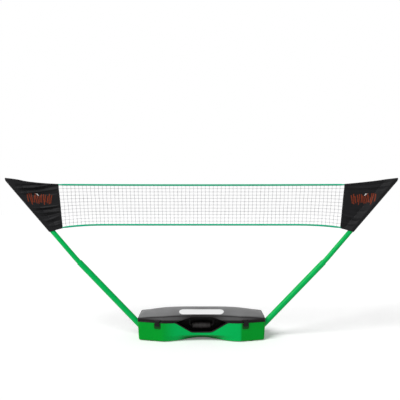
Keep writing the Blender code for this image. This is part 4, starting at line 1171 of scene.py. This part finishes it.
class NETSET_OT_plate(Operator):
    """Bare plate with round ends that lies on the lid's front slope"""

    bl_idname = "netset.plate"
    bl_label = "Plate"

    def execute(self, context):
        angle = np.linspace(0, 2 * np.pi, 96, endpoint=False)
        bone = np.where(np.cos(angle) > 0, 1.0, -1.0) * (PLATE_HALF - PLATE_RADIUS)
        edge = np.column_stack([bone + PLATE_RADIUS * np.cos(angle), PLATE_RADIUS * np.sin(angle)])
        rounding = [(1.0, 0.0), (1.0, 0.6), (0.985, 0.9)]
        rows = []
        for share, rise in rounding + [(share, 1.0) for share in (0.96, 0.8, 0.55, 0.3, 0.0)]:
            x = bone + (edge[:, 0] - bone) * share
            y = PLATE_MIDDLE + edge[:, 1] * share
            z = dome_height(x, y) + PLATE_GAP + PLATE_THICKNESS * rise
            rows.append(np.column_stack([x, y + PLANE_Y, z]))
        patches = [grid_patch(np.stack(rows), closed=True, size=(0.24, 0.05))]
        piece("lid_plate", patches, "plate", "lid", ["label_plate"], MERGE)
        return {"FINISHED"}


class NETSET_OT_feet(Operator):
    """Four rubber pads with a rounded edge"""

    bl_idname = "netset.feet"
    bl_label = "Feet"

    def execute(self, context):
        turn = arc((PAD_RADIUS - PAD_EDGE, PAD_EDGE), PAD_EDGE, -math.pi / 2, 0, 6)
        under = [(PAD_HOLE, 0.0), (PAD_RADIUS * 0.6, 0.0)]
        over = [(PAD_RADIUS * 0.95, PAD_HEIGHT), (PAD_HOLE, PAD_HEIGHT)]
        profile = np.concatenate([under, turn, over])
        for end, side in SIDES.items():
            for row, way in {"front": -1, "back": 1}.items():
                centre = (side * FOOT_X, way * FOOT_Y + PLANE_Y, 0.0)
                patches = lathe_patches(profile, centre, (0, 0, 1), 40)
                nodes = [f"foot_{row}_{end}"]
                piece(f"pad_{row}_{end}", patches, "rubber", "case", nodes, FINE_MERGE)
        return {"FINISHED"}


# Poles, panels and net in the plane of the set, as x and z


def along_pole(angle):
    """Unit vector up the right pole."""
    return np.array([math.cos(angle), math.sin(angle)])


LOW_WAY, HIGH_WAY = along_pole(LOWER_ANGLE), along_pole(UPPER_ANGLE)
OUT_WAY = np.array([HIGH_WAY[1], -HIGH_WAY[0]])
ENTRY = np.array([CASE_LENGTH / 2, ENTRY_HEIGHT])
POLE_FOOT = ENTRY - LOW_WAY * INSERTION
POLE_JOINT = POLE_FOOT + LOW_WAY * LOWER_LENGTH
POLE_ELBOW = POLE_JOINT + LOW_WAY * ELBOW
POLE_TIP = POLE_ELBOW + HIGH_WAY * UPPER_LENGTH
NET_TOP = POLE_TIP[1] - NET_DROP


def in_space(flat, side, depth=0.0):
    """Points of the right half's plane put on a side, at a depth."""
    flat = np.asarray(flat, float)
    return np.stack([side * flat[..., 0], PLANE_Y + depth + 0 * flat[..., 0], flat[..., 1]], axis=-1)


def net_edge_x(z):
    """Inner edge of the panel at a height: a line that leans in downwards."""
    return POLE_TIP[0] - SLEEVE_TOP_WIDTH - EDGE_LEAN * (NET_TOP - z) / (NET_HEIGHT + END_DIP)


def bottom_cord_height(x):
    """Level, with a dip to a power towards the ends."""
    height = NET_TOP - NET_HEIGHT
    past = np.maximum(0.0, np.abs(x) - DIP_START) / (net_edge_x(height) - DIP_START)
    return height - END_DIP * np.minimum(past, 1.0) ** DIP_POWER


def top_cord_height(x):
    """Parabola that sags in the middle."""
    return NET_TOP - TOP_SAG * (1 - (x / net_edge_x(NET_TOP)) ** 2)


class NETSET_OT_poles(Operator):
    """Lower tubes, narrower upper tubes and their plugs"""

    bl_idname = "netset.poles"
    bl_label = "Poles"

    def execute(self, context):
        sides = context.scene.net_set.pole.sides
        for name, side in SIDES.items():
            self.lower(name, side, sides)
            self.upper(name, side, sides)
            dress(f"foot_plug_{name}", "dark")
            dress(f"tip_plug_{name}", "dark")
        return {"FINISHED"}

    def lower(self, name, side, sides):
        """Straight tube with a rounded mouth, from its plug's flange up."""
        foot = in_space(POLE_FOOT, side)
        axis = in_space(POLE_JOINT, side) - foot
        inner = LOWER_RADIUS - LOWER_WALL
        rim = arc((LOWER_RADIUS - TUBE_EDGE, LOWER_LENGTH - TUBE_EDGE), TUBE_EDGE, 0, math.pi / 2, 5)
        low = [(inner, PLUG_FLANGE), (LOWER_RADIUS, PLUG_FLANGE)]
        profile = np.concatenate([low, rim, [(inner, LOWER_LENGTH)]])
        patches = lathe_patches(profile, foot, axis, sides)
        nodes = [f"lower_tube_{name}"]
        piece(f"pole_lower_{name}", patches, "tube", f"pole_{name}", nodes, FINE_MERGE)

    def upper(self, name, side, sides):
        """Narrower tube from its spigot through a parabola at the elbow to the tip."""
        t = np.linspace(0, 1, 9)[:, None]
        start, end = POLE_ELBOW - LOW_WAY * ELBOW_REACH, POLE_ELBOW + HIGH_WAY * ELBOW_REACH
        bend = (1 - t) ** 2 * start + 2 * t * (1 - t) * POLE_ELBOW + t**2 * end
        flat = np.concatenate([[POLE_JOINT - LOW_WAY * SPIGOT], bend, [POLE_TIP]])
        rings = tube_points(in_space(flat, side), UPPER_RADIUS, sides)
        patches = [grid_patch(rings, closed=True, size=(0.08, 0.65), flip=True)]
        body, nodes = f"upper_{name}", [f"upper_tube_{name}"]
        tube = piece(f"pole_upper_{name}", patches, "tube", body, nodes)
        add_wall(tube, UPPER_WALL)


POCKET_RADIUS = 0.0143
POCKET_EDGE = 0.0158
POCKET_SEAM = 0.036
NOSE_START = UPPER_LENGTH + 0.001
NOSE = 0.0225
NOSE_DROP = 0.54
NOSE_POWER = 2.4
TOP_HOLLOW = {"left": 0.0068, "right": 0.0030}
TIP_ROWS = 0.9
TOP_CLOSING = 0.006
CLOTH_WALL = 0.0005
CLOTH_GAP = 0.0006
TAPE_RADIUS = 0.0042
TAPE_FLAT = 0.36
PRINT_LIFT = 0.0004
ACCENT_LIFT = 0.0007
STRIPES = 13
STRIPE_STEP = 0.047
STRIPE_WIDTH = 0.026
STRIPE_SLANT = 0.045
FOLDS = {
    "left": [
        (1.050, 0.865, 0.014, 0.7), (1.020, 0.810, 0.014, -1.0), (0.965, 0.775, 0.020, 0.9),
        (0.900, 0.720, 0.018, -1.0), (0.800, 0.690, 0.018, 0.4), (0.520, 0.440, 0.014, -0.6),
        (0.470, 0.425, 0.021, 0.9), (0.395, 0.375, 0.018, -1.0), (0.355, 0.300, 0.012, 0.6),
        (0.290, 0.180, 0.022, -0.6), (0.200, 0.175, 0.026, 0.7), (0.110, 0.120, 0.018, -0.5),
    ],
    "right": [
        (0.960, 0.940, 0.012, 0.6), (0.915, 0.880, 0.016, -0.7), (0.860, 0.820, 0.018, 0.5),
        (0.430, 0.385, 0.026, 0.5), (0.300, 0.245, 0.020, -0.9), (0.240, 0.190, 0.018, 0.8),
        (0.130, 0.150, 0.022, -0.6),
    ],
}


def nose(s):
    """1 along the pole, then less past its tip by a power of the distance."""
    return 1 - NOSE_DROP * np.clip((s - NOSE_START) / NOSE, 0, 1) ** NOSE_POWER


def panel_plane(u, v):
    """Right panel in x and z: lines from the inner edge to the pocket's fold, by a sine near the tip."""
    low = NET_TOP - NET_HEIGHT - END_DIP - HEM_MARGIN
    top = NET_TOP + CORD_RADIUS
    inner_low = np.array([net_edge_x(low), low])
    inner_top = np.array([net_edge_x(top), top])
    seam = POLE_ELBOW + OUT_WAY * POCKET_EDGE
    fall = math.tan(HEM_ANGLE)
    start = (low - fall * (seam[0] - inner_low[0]) - seam[1]) / (HIGH_WAY[1] + fall * HIGH_WAY[0])
    end = NOSE_START + NOSE
    rest = 1 - TIP_ROWS
    bent = np.where(v > TIP_ROWS, TIP_ROWS + rest * np.sin((v - TIP_ROWS) / rest * np.pi / 2), v)
    s = start + (end - start) * bent
    outer = POLE_ELBOW + HIGH_WAY * s[..., None] + OUT_WAY * (POCKET_EDGE * nose(s))[..., None]
    inner = inner_low + (inner_top - inner_low) * v[..., None]
    return inner * (1 - u[..., None]) + outer * u[..., None]


def pocket_height(flat):
    """Half thickness round the pole: an ellipse outside, a circle and its tangent to the seam inside."""
    low_top = panel_plane(np.array(0.0), np.array(1.0))
    tip = panel_plane(np.array(1.0), np.array(1.0))
    edge = (tip - low_top) / np.linalg.norm(tip - low_top)
    below = (flat - low_top) @ np.array([edge[1], -edge[0]])
    closing = np.sqrt(1 - (1 - np.clip(below / TOP_CLOSING, 0, 1)) ** 2)
    rel = flat - POLE_ELBOW
    s, d = rel @ HIGH_WAY, -(rel @ OUT_WAY)
    shrink = np.maximum(nose(s), 1e-3)
    radius, rim, seam = POCKET_RADIUS * shrink, POCKET_EDGE * shrink, POCKET_SEAM * np.maximum(shrink, 0.5)
    outside = radius * np.sqrt(np.maximum(0, 1 - (d / rim) ** 2))
    touch = radius**2 / seam
    circle = np.sqrt(np.maximum(0, radius**2 - d**2))
    line = radius * np.sqrt(1 - (radius / seam) ** 2) * (seam - d) / (seam - touch)
    inside = np.where(d < touch, circle, np.maximum(0, line))
    return closing * np.where(d < 0, outside, inside)


def fold_height(name, u, v, height):
    """Sum of bell-shaped ridges that fan out from the pole to the inner edge."""
    total = np.zeros(np.broadcast(u, v).shape)
    for at_edge, at_pole, width, share in FOLDS[name]:
        line = at_edge + (at_pole - at_edge) * u - 0.02 * np.sin(np.pi * u)
        total += share * np.exp(-(((v - line) / width) ** 2))
    mask = np.sin(np.pi * np.clip(u * 0.96 + 0.04, 0, 1)) ** 0.7
    return height * total * mask


def panel_point(name, side, u, v, face, height, lift=0.0):
    """Point on the front (face -1) or back (face 1) layer of a panel, hollowed at its top edge."""
    u, v = np.broadcast_arrays(np.asarray(u, float), np.asarray(v, float))
    flat = panel_plane(u, v)
    half = pocket_height(flat)
    inward = -(flat - POLE_ELBOW) @ OUT_WAY
    loose = smooth_step(inward, 0.005, 0.018)
    fold = fold_height(name, u, v, height)
    outward = np.maximum(0, face * fold) * (1 - loose) * 0.35
    depth = fold * loose + face * (half + CLOTH_GAP + lift + outward)
    near_top, off_pole = smooth_step(v, 0.7, 1.0), smooth_step(inward, 0.013, 0.075)
    hollow = TOP_HOLLOW[name] * 4 * u * (1 - u) * near_top * off_pole
    return np.stack([side * flat[..., 0], PLANE_Y + depth, flat[..., 1] - hollow], axis=-1)


def stitches(path, outward, length=0.0030, pitch=0.0046, thick=0.00035):
    """Row of small raised stitches along a path, each a six-sided sliver."""
    step = np.linalg.norm(np.diff(path, axis=0), axis=1)
    run = np.concatenate([[0], np.cumsum(step)])
    middles = np.arange(pitch, run[-1] - pitch, pitch)
    centre = np.stack([np.interp(middles, run, path[:, k]) for k in range(3)], axis=-1)
    ahead = np.stack([np.interp(middles + 0.001, run, path[:, k]) for k in range(3)], axis=-1)
    tangent = (ahead - centre) / np.linalg.norm(ahead - centre, axis=1, keepdims=True)
    out = np.broadcast_to(np.asarray(outward, float), tangent.shape)
    side = np.cross(tangent, out)
    side /= np.linalg.norm(side, axis=1, keepdims=True)
    corners = []
    for a, b, c in ((-1, 0, 0), (0, 1, 0), (0, 0, 1), (0, -1, 0), (0, 0, -1), (1, 0, 0)):
        corners.append(centre + a * tangent * length / 2 + b * side * thick + c * out * thick)
    points = np.stack(corners, axis=1).reshape(-1, 3)
    low, high = [(0, 2, 1), (0, 3, 2), (0, 4, 3), (0, 1, 4)], [(5, 1, 2), (5, 2, 3), (5, 3, 4), (5, 4, 1)]
    base = np.array(low + high)
    faces = (np.arange(len(middles))[:, None, None] * 6 + base[None]).reshape(-1, 3)
    return points, faces, np.zeros((len(faces) * 3, 2))


class NETSET_OT_panels(Operator):
    """Fabric end panels with their pole pockets, edge tapes, stitches and print"""

    bl_idname = "netset.panels"
    bl_label = "Fabric Panels"

    def execute(self, context):
        settings = context.scene.net_set.panel
        heights = {"left": settings.fold_left, "right": settings.fold_right}
        for name, side in SIDES.items():
            cloth = self.cloth(name, side, heights[name])
            extras = [self.tapes(name, side, heights[name]), self.prints(name, side, heights[name])]
        return {"FINISHED"}

    def cloth(self, name, side, height):
        """One sheet from the front inner edge round the pole and back to the inner edge."""
        turn = np.linspace(0, np.pi / 2, 26)
        u = np.concatenate([np.linspace(0, 0.72, 58), 1 - 0.28 * np.cos(turn)[1:] ** 1.4])
        v = np.linspace(0, 1, 150)[:, None]
        front = panel_point(name, side, u[None], v, -1, height)
        back = panel_point(name, side, u[None, ::-1], v, 1, height)
        points = np.concatenate([front, back[:, 1:]], axis=1)
        patches = [grid_patch(points, size=(0.6, 0.3), flip=side < 0)]
        body, nodes = f"upper_{name}", [f"sleeve_{name}"]
        cloth = piece(f"panel_{name}", patches, "cloth", body, nodes, sharp=80)
        add_wall(cloth, CLOTH_WALL, 0.0)
        return cloth

    def tapes(self, name, side, height):
        """Bound edges along the net, the top and the hem, with their stitches and those of the pocket."""
        t = np.linspace(0, 1, 60)
        edges = [(0 * t + 0.012, t), (t * 0.965, 0.988 - 0.013 * t**2), (t * 0.62, 0 * t + 0.014)]
        parts, rows = [], []
        for u, v in edges:
            front, back = (panel_point(name, side, u, v, face, height) for face in (-1, 1))
            path = (front + back) / 2
            parts += tube_patches(path, TAPE_RADIUS * np.sqrt(np.minimum(1, 1.02 - t**8)), 14, TAPE_FLAT)
            for face in (-1, 1):
                rows.append(stitches(path + [0, face * 0.0016, 0], (0, face, 0)))
        seam_v = np.linspace(0.02, 0.93, 90)
        seam_u = self.seam_share(seam_v, POLE_ELBOW - OUT_WAY * POCKET_SEAM)
        for face in (-1, 1):
            seam = panel_point(name, side, seam_u, seam_v, face, height, PRINT_LIFT)
            rows.append(stitches(seam, (0, face, 0)))
        tapes = piece(f"panel_tapes_{name}", parts, "tape", f"upper_{name}")
        stitched = piece(f"panel_stitches_{name}", rows, "thread", f"upper_{name}")
        stitched.parent = tapes
        return tapes

    def seam_share(self, v, seam):
        """Where the pocket's seam crosses each line of the panel."""
        inner, outer = panel_plane(0 * v, v), panel_plane(0 * v + 1, v)
        start, end = (inner - seam) @ OUT_WAY, (outer - seam) @ OUT_WAY
        return np.clip(-start / (end - start), 0, 1)

    def prints(self, name, side, height):
        """Slanted stripes of growing height and one pale accent, printed on both faces."""
        stripes, accents = [], []
        along = np.linspace(-1, 1, 16)[:, None]
        across = STRIPE_WIDTH * np.linspace(0, 1, 5)[None, :] - STRIPE_SLANT * along
        for face in (-1, 1):
            flip = (side < 0) == (face < 0)
            for k in range(STRIPES):
                reach = 0.092 + 0.022 * math.sin(1.9 * k)
                grid_u = 0.205 + STRIPE_STEP * k + across
                grid_v = 0.645 + 0.012 * math.sin(2.7 * k) + reach * along + 0 * grid_u
                points = panel_point(name, side, grid_u, grid_v, face, height, PRINT_LIFT)
                stripes.append(grid_patch(points, size=(0.02, 0.06), flip=flip))
            grid_u = 0.49 + 0.050 * np.linspace(0, 1, 4)[None, :] * np.linspace(0.2, 1, 6)[:, None]
            grid_v = 0.705 + 0.045 * np.linspace(0, 1, 6)[:, None] + 0 * grid_u
            points = panel_point(name, side, grid_u, grid_v, face, height, ACCENT_LIFT)
            accents.append(grid_patch(points, size=(0.01, 0.01), flip=flip))
        ink = piece(f"panel_print_{name}", stripes, "print", f"upper_{name}")
        pale = piece(f"panel_accent_{name}", accents, "accent", f"upper_{name}")
        pale.parent = ink
        return ink


def net_surface(a, b, inset):
    """Point of the net, a from -1 to 1 along it and b from cord to cord, with a slight sway by sines."""
    x = a * net_edge_x(NET_TOP - NET_HEIGHT * (1 - b))
    low = bottom_cord_height(x) + inset
    z = low + (top_cord_height(x) - inset - low) * b
    x = a * (net_edge_x(z) - EDGE_GAP)
    sway = NET_SWAY * np.sin(9.1 * a + 5.0 * b) * np.sin(np.pi * b) + NET_RIPPLE * np.sin(41.0 * a) * b
    return np.stack([x + NET_RIPPLE * np.sin(23 * a + 11 * b), PLANE_Y + sway, z], axis=-1)


def strand_patches(paths, knots, radius, sides=5):
    """Tubes along many paths at once, thicker where a knot is: r (1 + swell knot)."""
    tangent = np.gradient(paths, axis=1)
    tangent /= np.linalg.norm(tangent, axis=2, keepdims=True)
    first = np.cross(tangent, [0.0, 1.0, 0.0])
    first /= np.linalg.norm(first, axis=2, keepdims=True)
    thick = radius * (1 + KNOT_SWELL * knots)[:, :, None, None]
    points = paths[:, :, None] + thick * ring_round(first, np.cross(first, tangent), sides)
    lines, stations = paths.shape[:2]
    length = float(np.linalg.norm(np.diff(paths[0], axis=0), axis=1).sum())
    faces, uv = grid_patch(points[0], closed=True, size=(2 * np.pi * radius, length), flip=True)[1:]
    offset = np.arange(lines)[:, None, None] * stations * sides
    return points.reshape(-1, 3), (faces[None] + offset).reshape(-1, 4), np.tile(uv, (lines, 1))


SPANS = {
    "outer_left": (-1.0, -0.5, "pole_left", "upper_left"),
    "inner_left": (-0.5, 0.0, "case", "pole_left"),
    "inner_right": (0.0, 0.5, "case", "pole_right"),
    "outer_right": (0.5, 1.0, "pole_right", "upper_right"),
}


def blend_span(obj, span):
    """Bake the placement of a part of the net into its mesh."""
    start, end, near, far = SPANS[span]
    if start < 0:
        start, end = end, start
    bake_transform(obj)


class NETSET_OT_net(Operator):
    """Knotted mesh and both cords, in four parts"""

    bl_idname = "netset.net"
    bl_label = "Net and Cords"

    def execute(self, context):
        settings = context.scene.net_set.net
        for span in SPANS:
            self.mesh(span, settings)
            self.cord(span, "top_cord", top_cord_height, float(net_edge_x(NET_TOP)))
            low = float(net_edge_x(NET_TOP - NET_HEIGHT - END_DIP))
            self.cord(span, "bottom_cord", bottom_cord_height, low)
        return {"FINISHED"}

    def mesh(self, span, settings):
        """Upright and level strands with a knot at each crossing."""
        columns, rows, fine = settings.columns, settings.rows, 4
        start, end = SPANS[span][:2]
        first, last = (round((x + 1) / 2 * columns) for x in (start, end))
        upright = [k for k in range(first, last + 1) if 0 < k < columns and (k < last or last == columns)]
        a = (2 * np.array(upright) / columns - 1)[:, None]
        b = np.linspace(0, 1, rows * fine + 1)[None, :]
        parts = [self.strands(a, b, b * rows, settings.strand)]
        b = (np.arange(1, rows) / rows)[:, None]
        a = np.linspace(start, end, (last - first) * fine + 1)[None, :]
        parts.append(self.strands(a, b, (a + 1) / 2 * columns, settings.strand))
        net = piece(f"net_{span}", parts, "strand", None, ["net_mesh"], sharp=180)
        blend_span(net, span)

    def strands(self, a, b, crossing, radius):
        """Strands along the rows of a grid, with a bell-shaped knot at each whole number of crossings."""
        a, b, crossing = np.broadcast_arrays(a, b, crossing)
        knots = np.exp(-(((crossing - np.round(crossing)) / KNOT_REACH) ** 2))
        return strand_patches(net_surface(a, b, CORD_RADIUS * 0.5), knots, radius)

    def cord(self, span, node, height, reach):
        """Part of a cord, higher than it is thick and round again where it meets the panel."""
        start, end = SPANS[span][:2]
        x = np.linspace(start, end, 91) * (reach - EDGE_GAP)
        path = np.column_stack([x, np.full(len(x), PLANE_Y), height(x)])
        points = tube_points(path, CORD_RADIUS, 20)
        swell = CORD_SWELL * smooth_step(reach - np.abs(x), 0.0, SWELL_REACH)
        points[..., 2] += swell[:, None] * (points[..., 2] - path[:, None, 2])
        length = float(np.linalg.norm(np.diff(path, axis=0), axis=1).sum())
        patches = [grid_patch(points, closed=True, size=(2 * np.pi * CORD_RADIUS, length), flip=True)]
        if start == -1.0:
            patches.append(fan_patch(points[0]))
        if end == 1.0:
            patches.append(fan_patch(points[-1], flip=True))
        cord = piece(f"{node}_{span}", patches, "cord", None, [node])
        blend_span(cord, span)


class NETSET_OT_stage(Operator):
    """White floor, even light, soft key light and the camera"""

    bl_idname = "netset.stage"
    bl_label = "Stage"

    def execute(self, context):
        settings = context.scene.net_set.stage
        self.floor()
        self.sky(context.scene, settings.sky)
        sun = bpy.data.lights.new("key_light", "SUN")
        sun.energy = settings.sun
        sun.angle = SUN_SPREAD
        lamp = bpy.data.objects.new("key_light", sun)
        lamp.rotation_euler = SUN_TURN
        context.scene.collection.objects.link(lamp)
        camera = bpy.data.cameras.new("photo_camera")
        camera.lens = CAMERA_LENS
        camera.sensor_width = CAMERA_SENSOR
        camera.clip_end = 100
        view = bpy.data.objects.new("photo_camera", camera)
        view.location = CAMERA_PLACE
        view.rotation_euler = (math.pi / 2, 0, 0)
        context.scene.collection.objects.link(view)
        context.scene.camera = view
        context.scene.view_settings.view_transform = "Standard"
        return {"FINISHED"}

    def floor(self):
        """Level sheet of floor, a little lifted to white where the camera sees it and clear from below."""
        x, y = np.meshgrid(np.linspace(*FLOOR_X, 9), np.linspace(*FLOOR_Y, 9))
        points = np.stack([x, y, 0 * x], axis=-1)
        mesh = mesh_from("floor", [grid_patch(points)])
        floor = bpy.data.objects.new("floor", mesh)
        bpy.context.scene.collection.objects.link(floor)
        paint = Finish("floor_paint", (FLOOR_TONE,) * 3, 0.9)
        lift = self.seen(paint.tree)
        strength = paint.joined("MULTIPLY", lift, FLOOR_LIFT)
        paint.shader.inputs["Emission Color"].default_value = (1, 1, 1, 1)
        paint.tree.links.new(strength, paint.shader.inputs["Emission Strength"])
        below = paint.node("NewGeometry").outputs["Backfacing"]
        clear = paint.node("BsdfTransparent").outputs["BSDF"]
        either = paint.node("MixShader", {0: below, 1: paint.shader.outputs["BSDF"], 2: clear})
        paint.tree.links.new(either.outputs[0], paint.tree.nodes["Material Output"].inputs["Surface"])
        mesh.materials.append(paint.material)

    def seen(self, tree):
        """1 for camera, glossy and transmission rays."""
        path = tree.nodes.new("ShaderNodeLightPath")
        total = path.outputs["Is Camera Ray"]
        for ray in ("Is Glossy Ray", "Is Transmission Ray"):
            either = tree.nodes.new("ShaderNodeMath")
            either.operation = "MAXIMUM"
            tree.links.new(total, either.inputs[0])
            tree.links.new(path.outputs[ray], either.inputs[1])
            total = either.outputs[0]
        return total

    def sky(self, scene, strength):
        """Even light at a strength, seen as plain white by the camera and in reflections."""
        world = bpy.data.worlds.new("studio")
        scene.world = world
        world.use_nodes = True
        tree = world.node_tree
        background = tree.nodes["Background"]
        background.inputs["Color"].default_value = (1, 1, 1, 1)
        spread = tree.nodes.new("ShaderNodeMapRange")
        tree.links.new(self.seen(tree), spread.inputs["Value"])
        spread.inputs["To Min"].default_value = strength
        spread.inputs["To Max"].default_value = 1.0
        tree.links.new(spread.outputs["Result"], background.inputs["Strength"])


# In the order in which main() calls them
OPERATORS = (
    NETSET_OT_stage,
    NETSET_OT_case_base,
    NETSET_OT_case_lid,
    NETSET_OT_handle_bay,
    NETSET_OT_handle,
    NETSET_OT_latches,
    NETSET_OT_plate,
    NETSET_OT_feet,
    NETSET_OT_poles,
    NETSET_OT_panels,
    NETSET_OT_net,
)


class NETSET_PT_sidebar(Panel):
    """Buttons and settings of the net set"""

    bl_label = "Net Set"
    bl_idname = "NETSET_PT_sidebar"
    bl_space_type = "VIEW_3D"
    bl_region_type = "UI"
    bl_category = "Net Set"

    def draw(self, context):
        settings = context.scene.net_set
        for group in ("case", "pole", "panel", "net", "stage"):
            box = self.layout.box()
            values = getattr(settings, group)
            for key in values.__annotations__:
                box.prop(values, key)
        for operator in OPERATORS:
            self.layout.operator(operator.bl_idname)


CLASSES = (
    CaseSettings,
    PoleSettings,
    PanelSettings,
    NetSettings,
    StageSettings,
    NetSetSettings,
    *OPERATORS,
    NETSET_PT_sidebar,
)


def register():
    """Add the classes and the settings to Blender."""
    for cls in CLASSES:
        bpy.utils.register_class(cls)
    bpy.types.Scene.net_set = PointerProperty(type=NetSetSettings)


def unregister():
    """Take them away again."""
    del bpy.types.Scene.net_set
    for cls in reversed(CLASSES):
        bpy.utils.unregister_class(cls)


def main():
    """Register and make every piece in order."""
    register()
    for operator in OPERATORS:
        name = operator.bl_idname.split(".")[1]
        if getattr(bpy.ops.netset, name)() != {"FINISHED"}:
            raise RuntimeError(f"netset.{name} didn't finish")


if __name__ == "__main__":
    main()
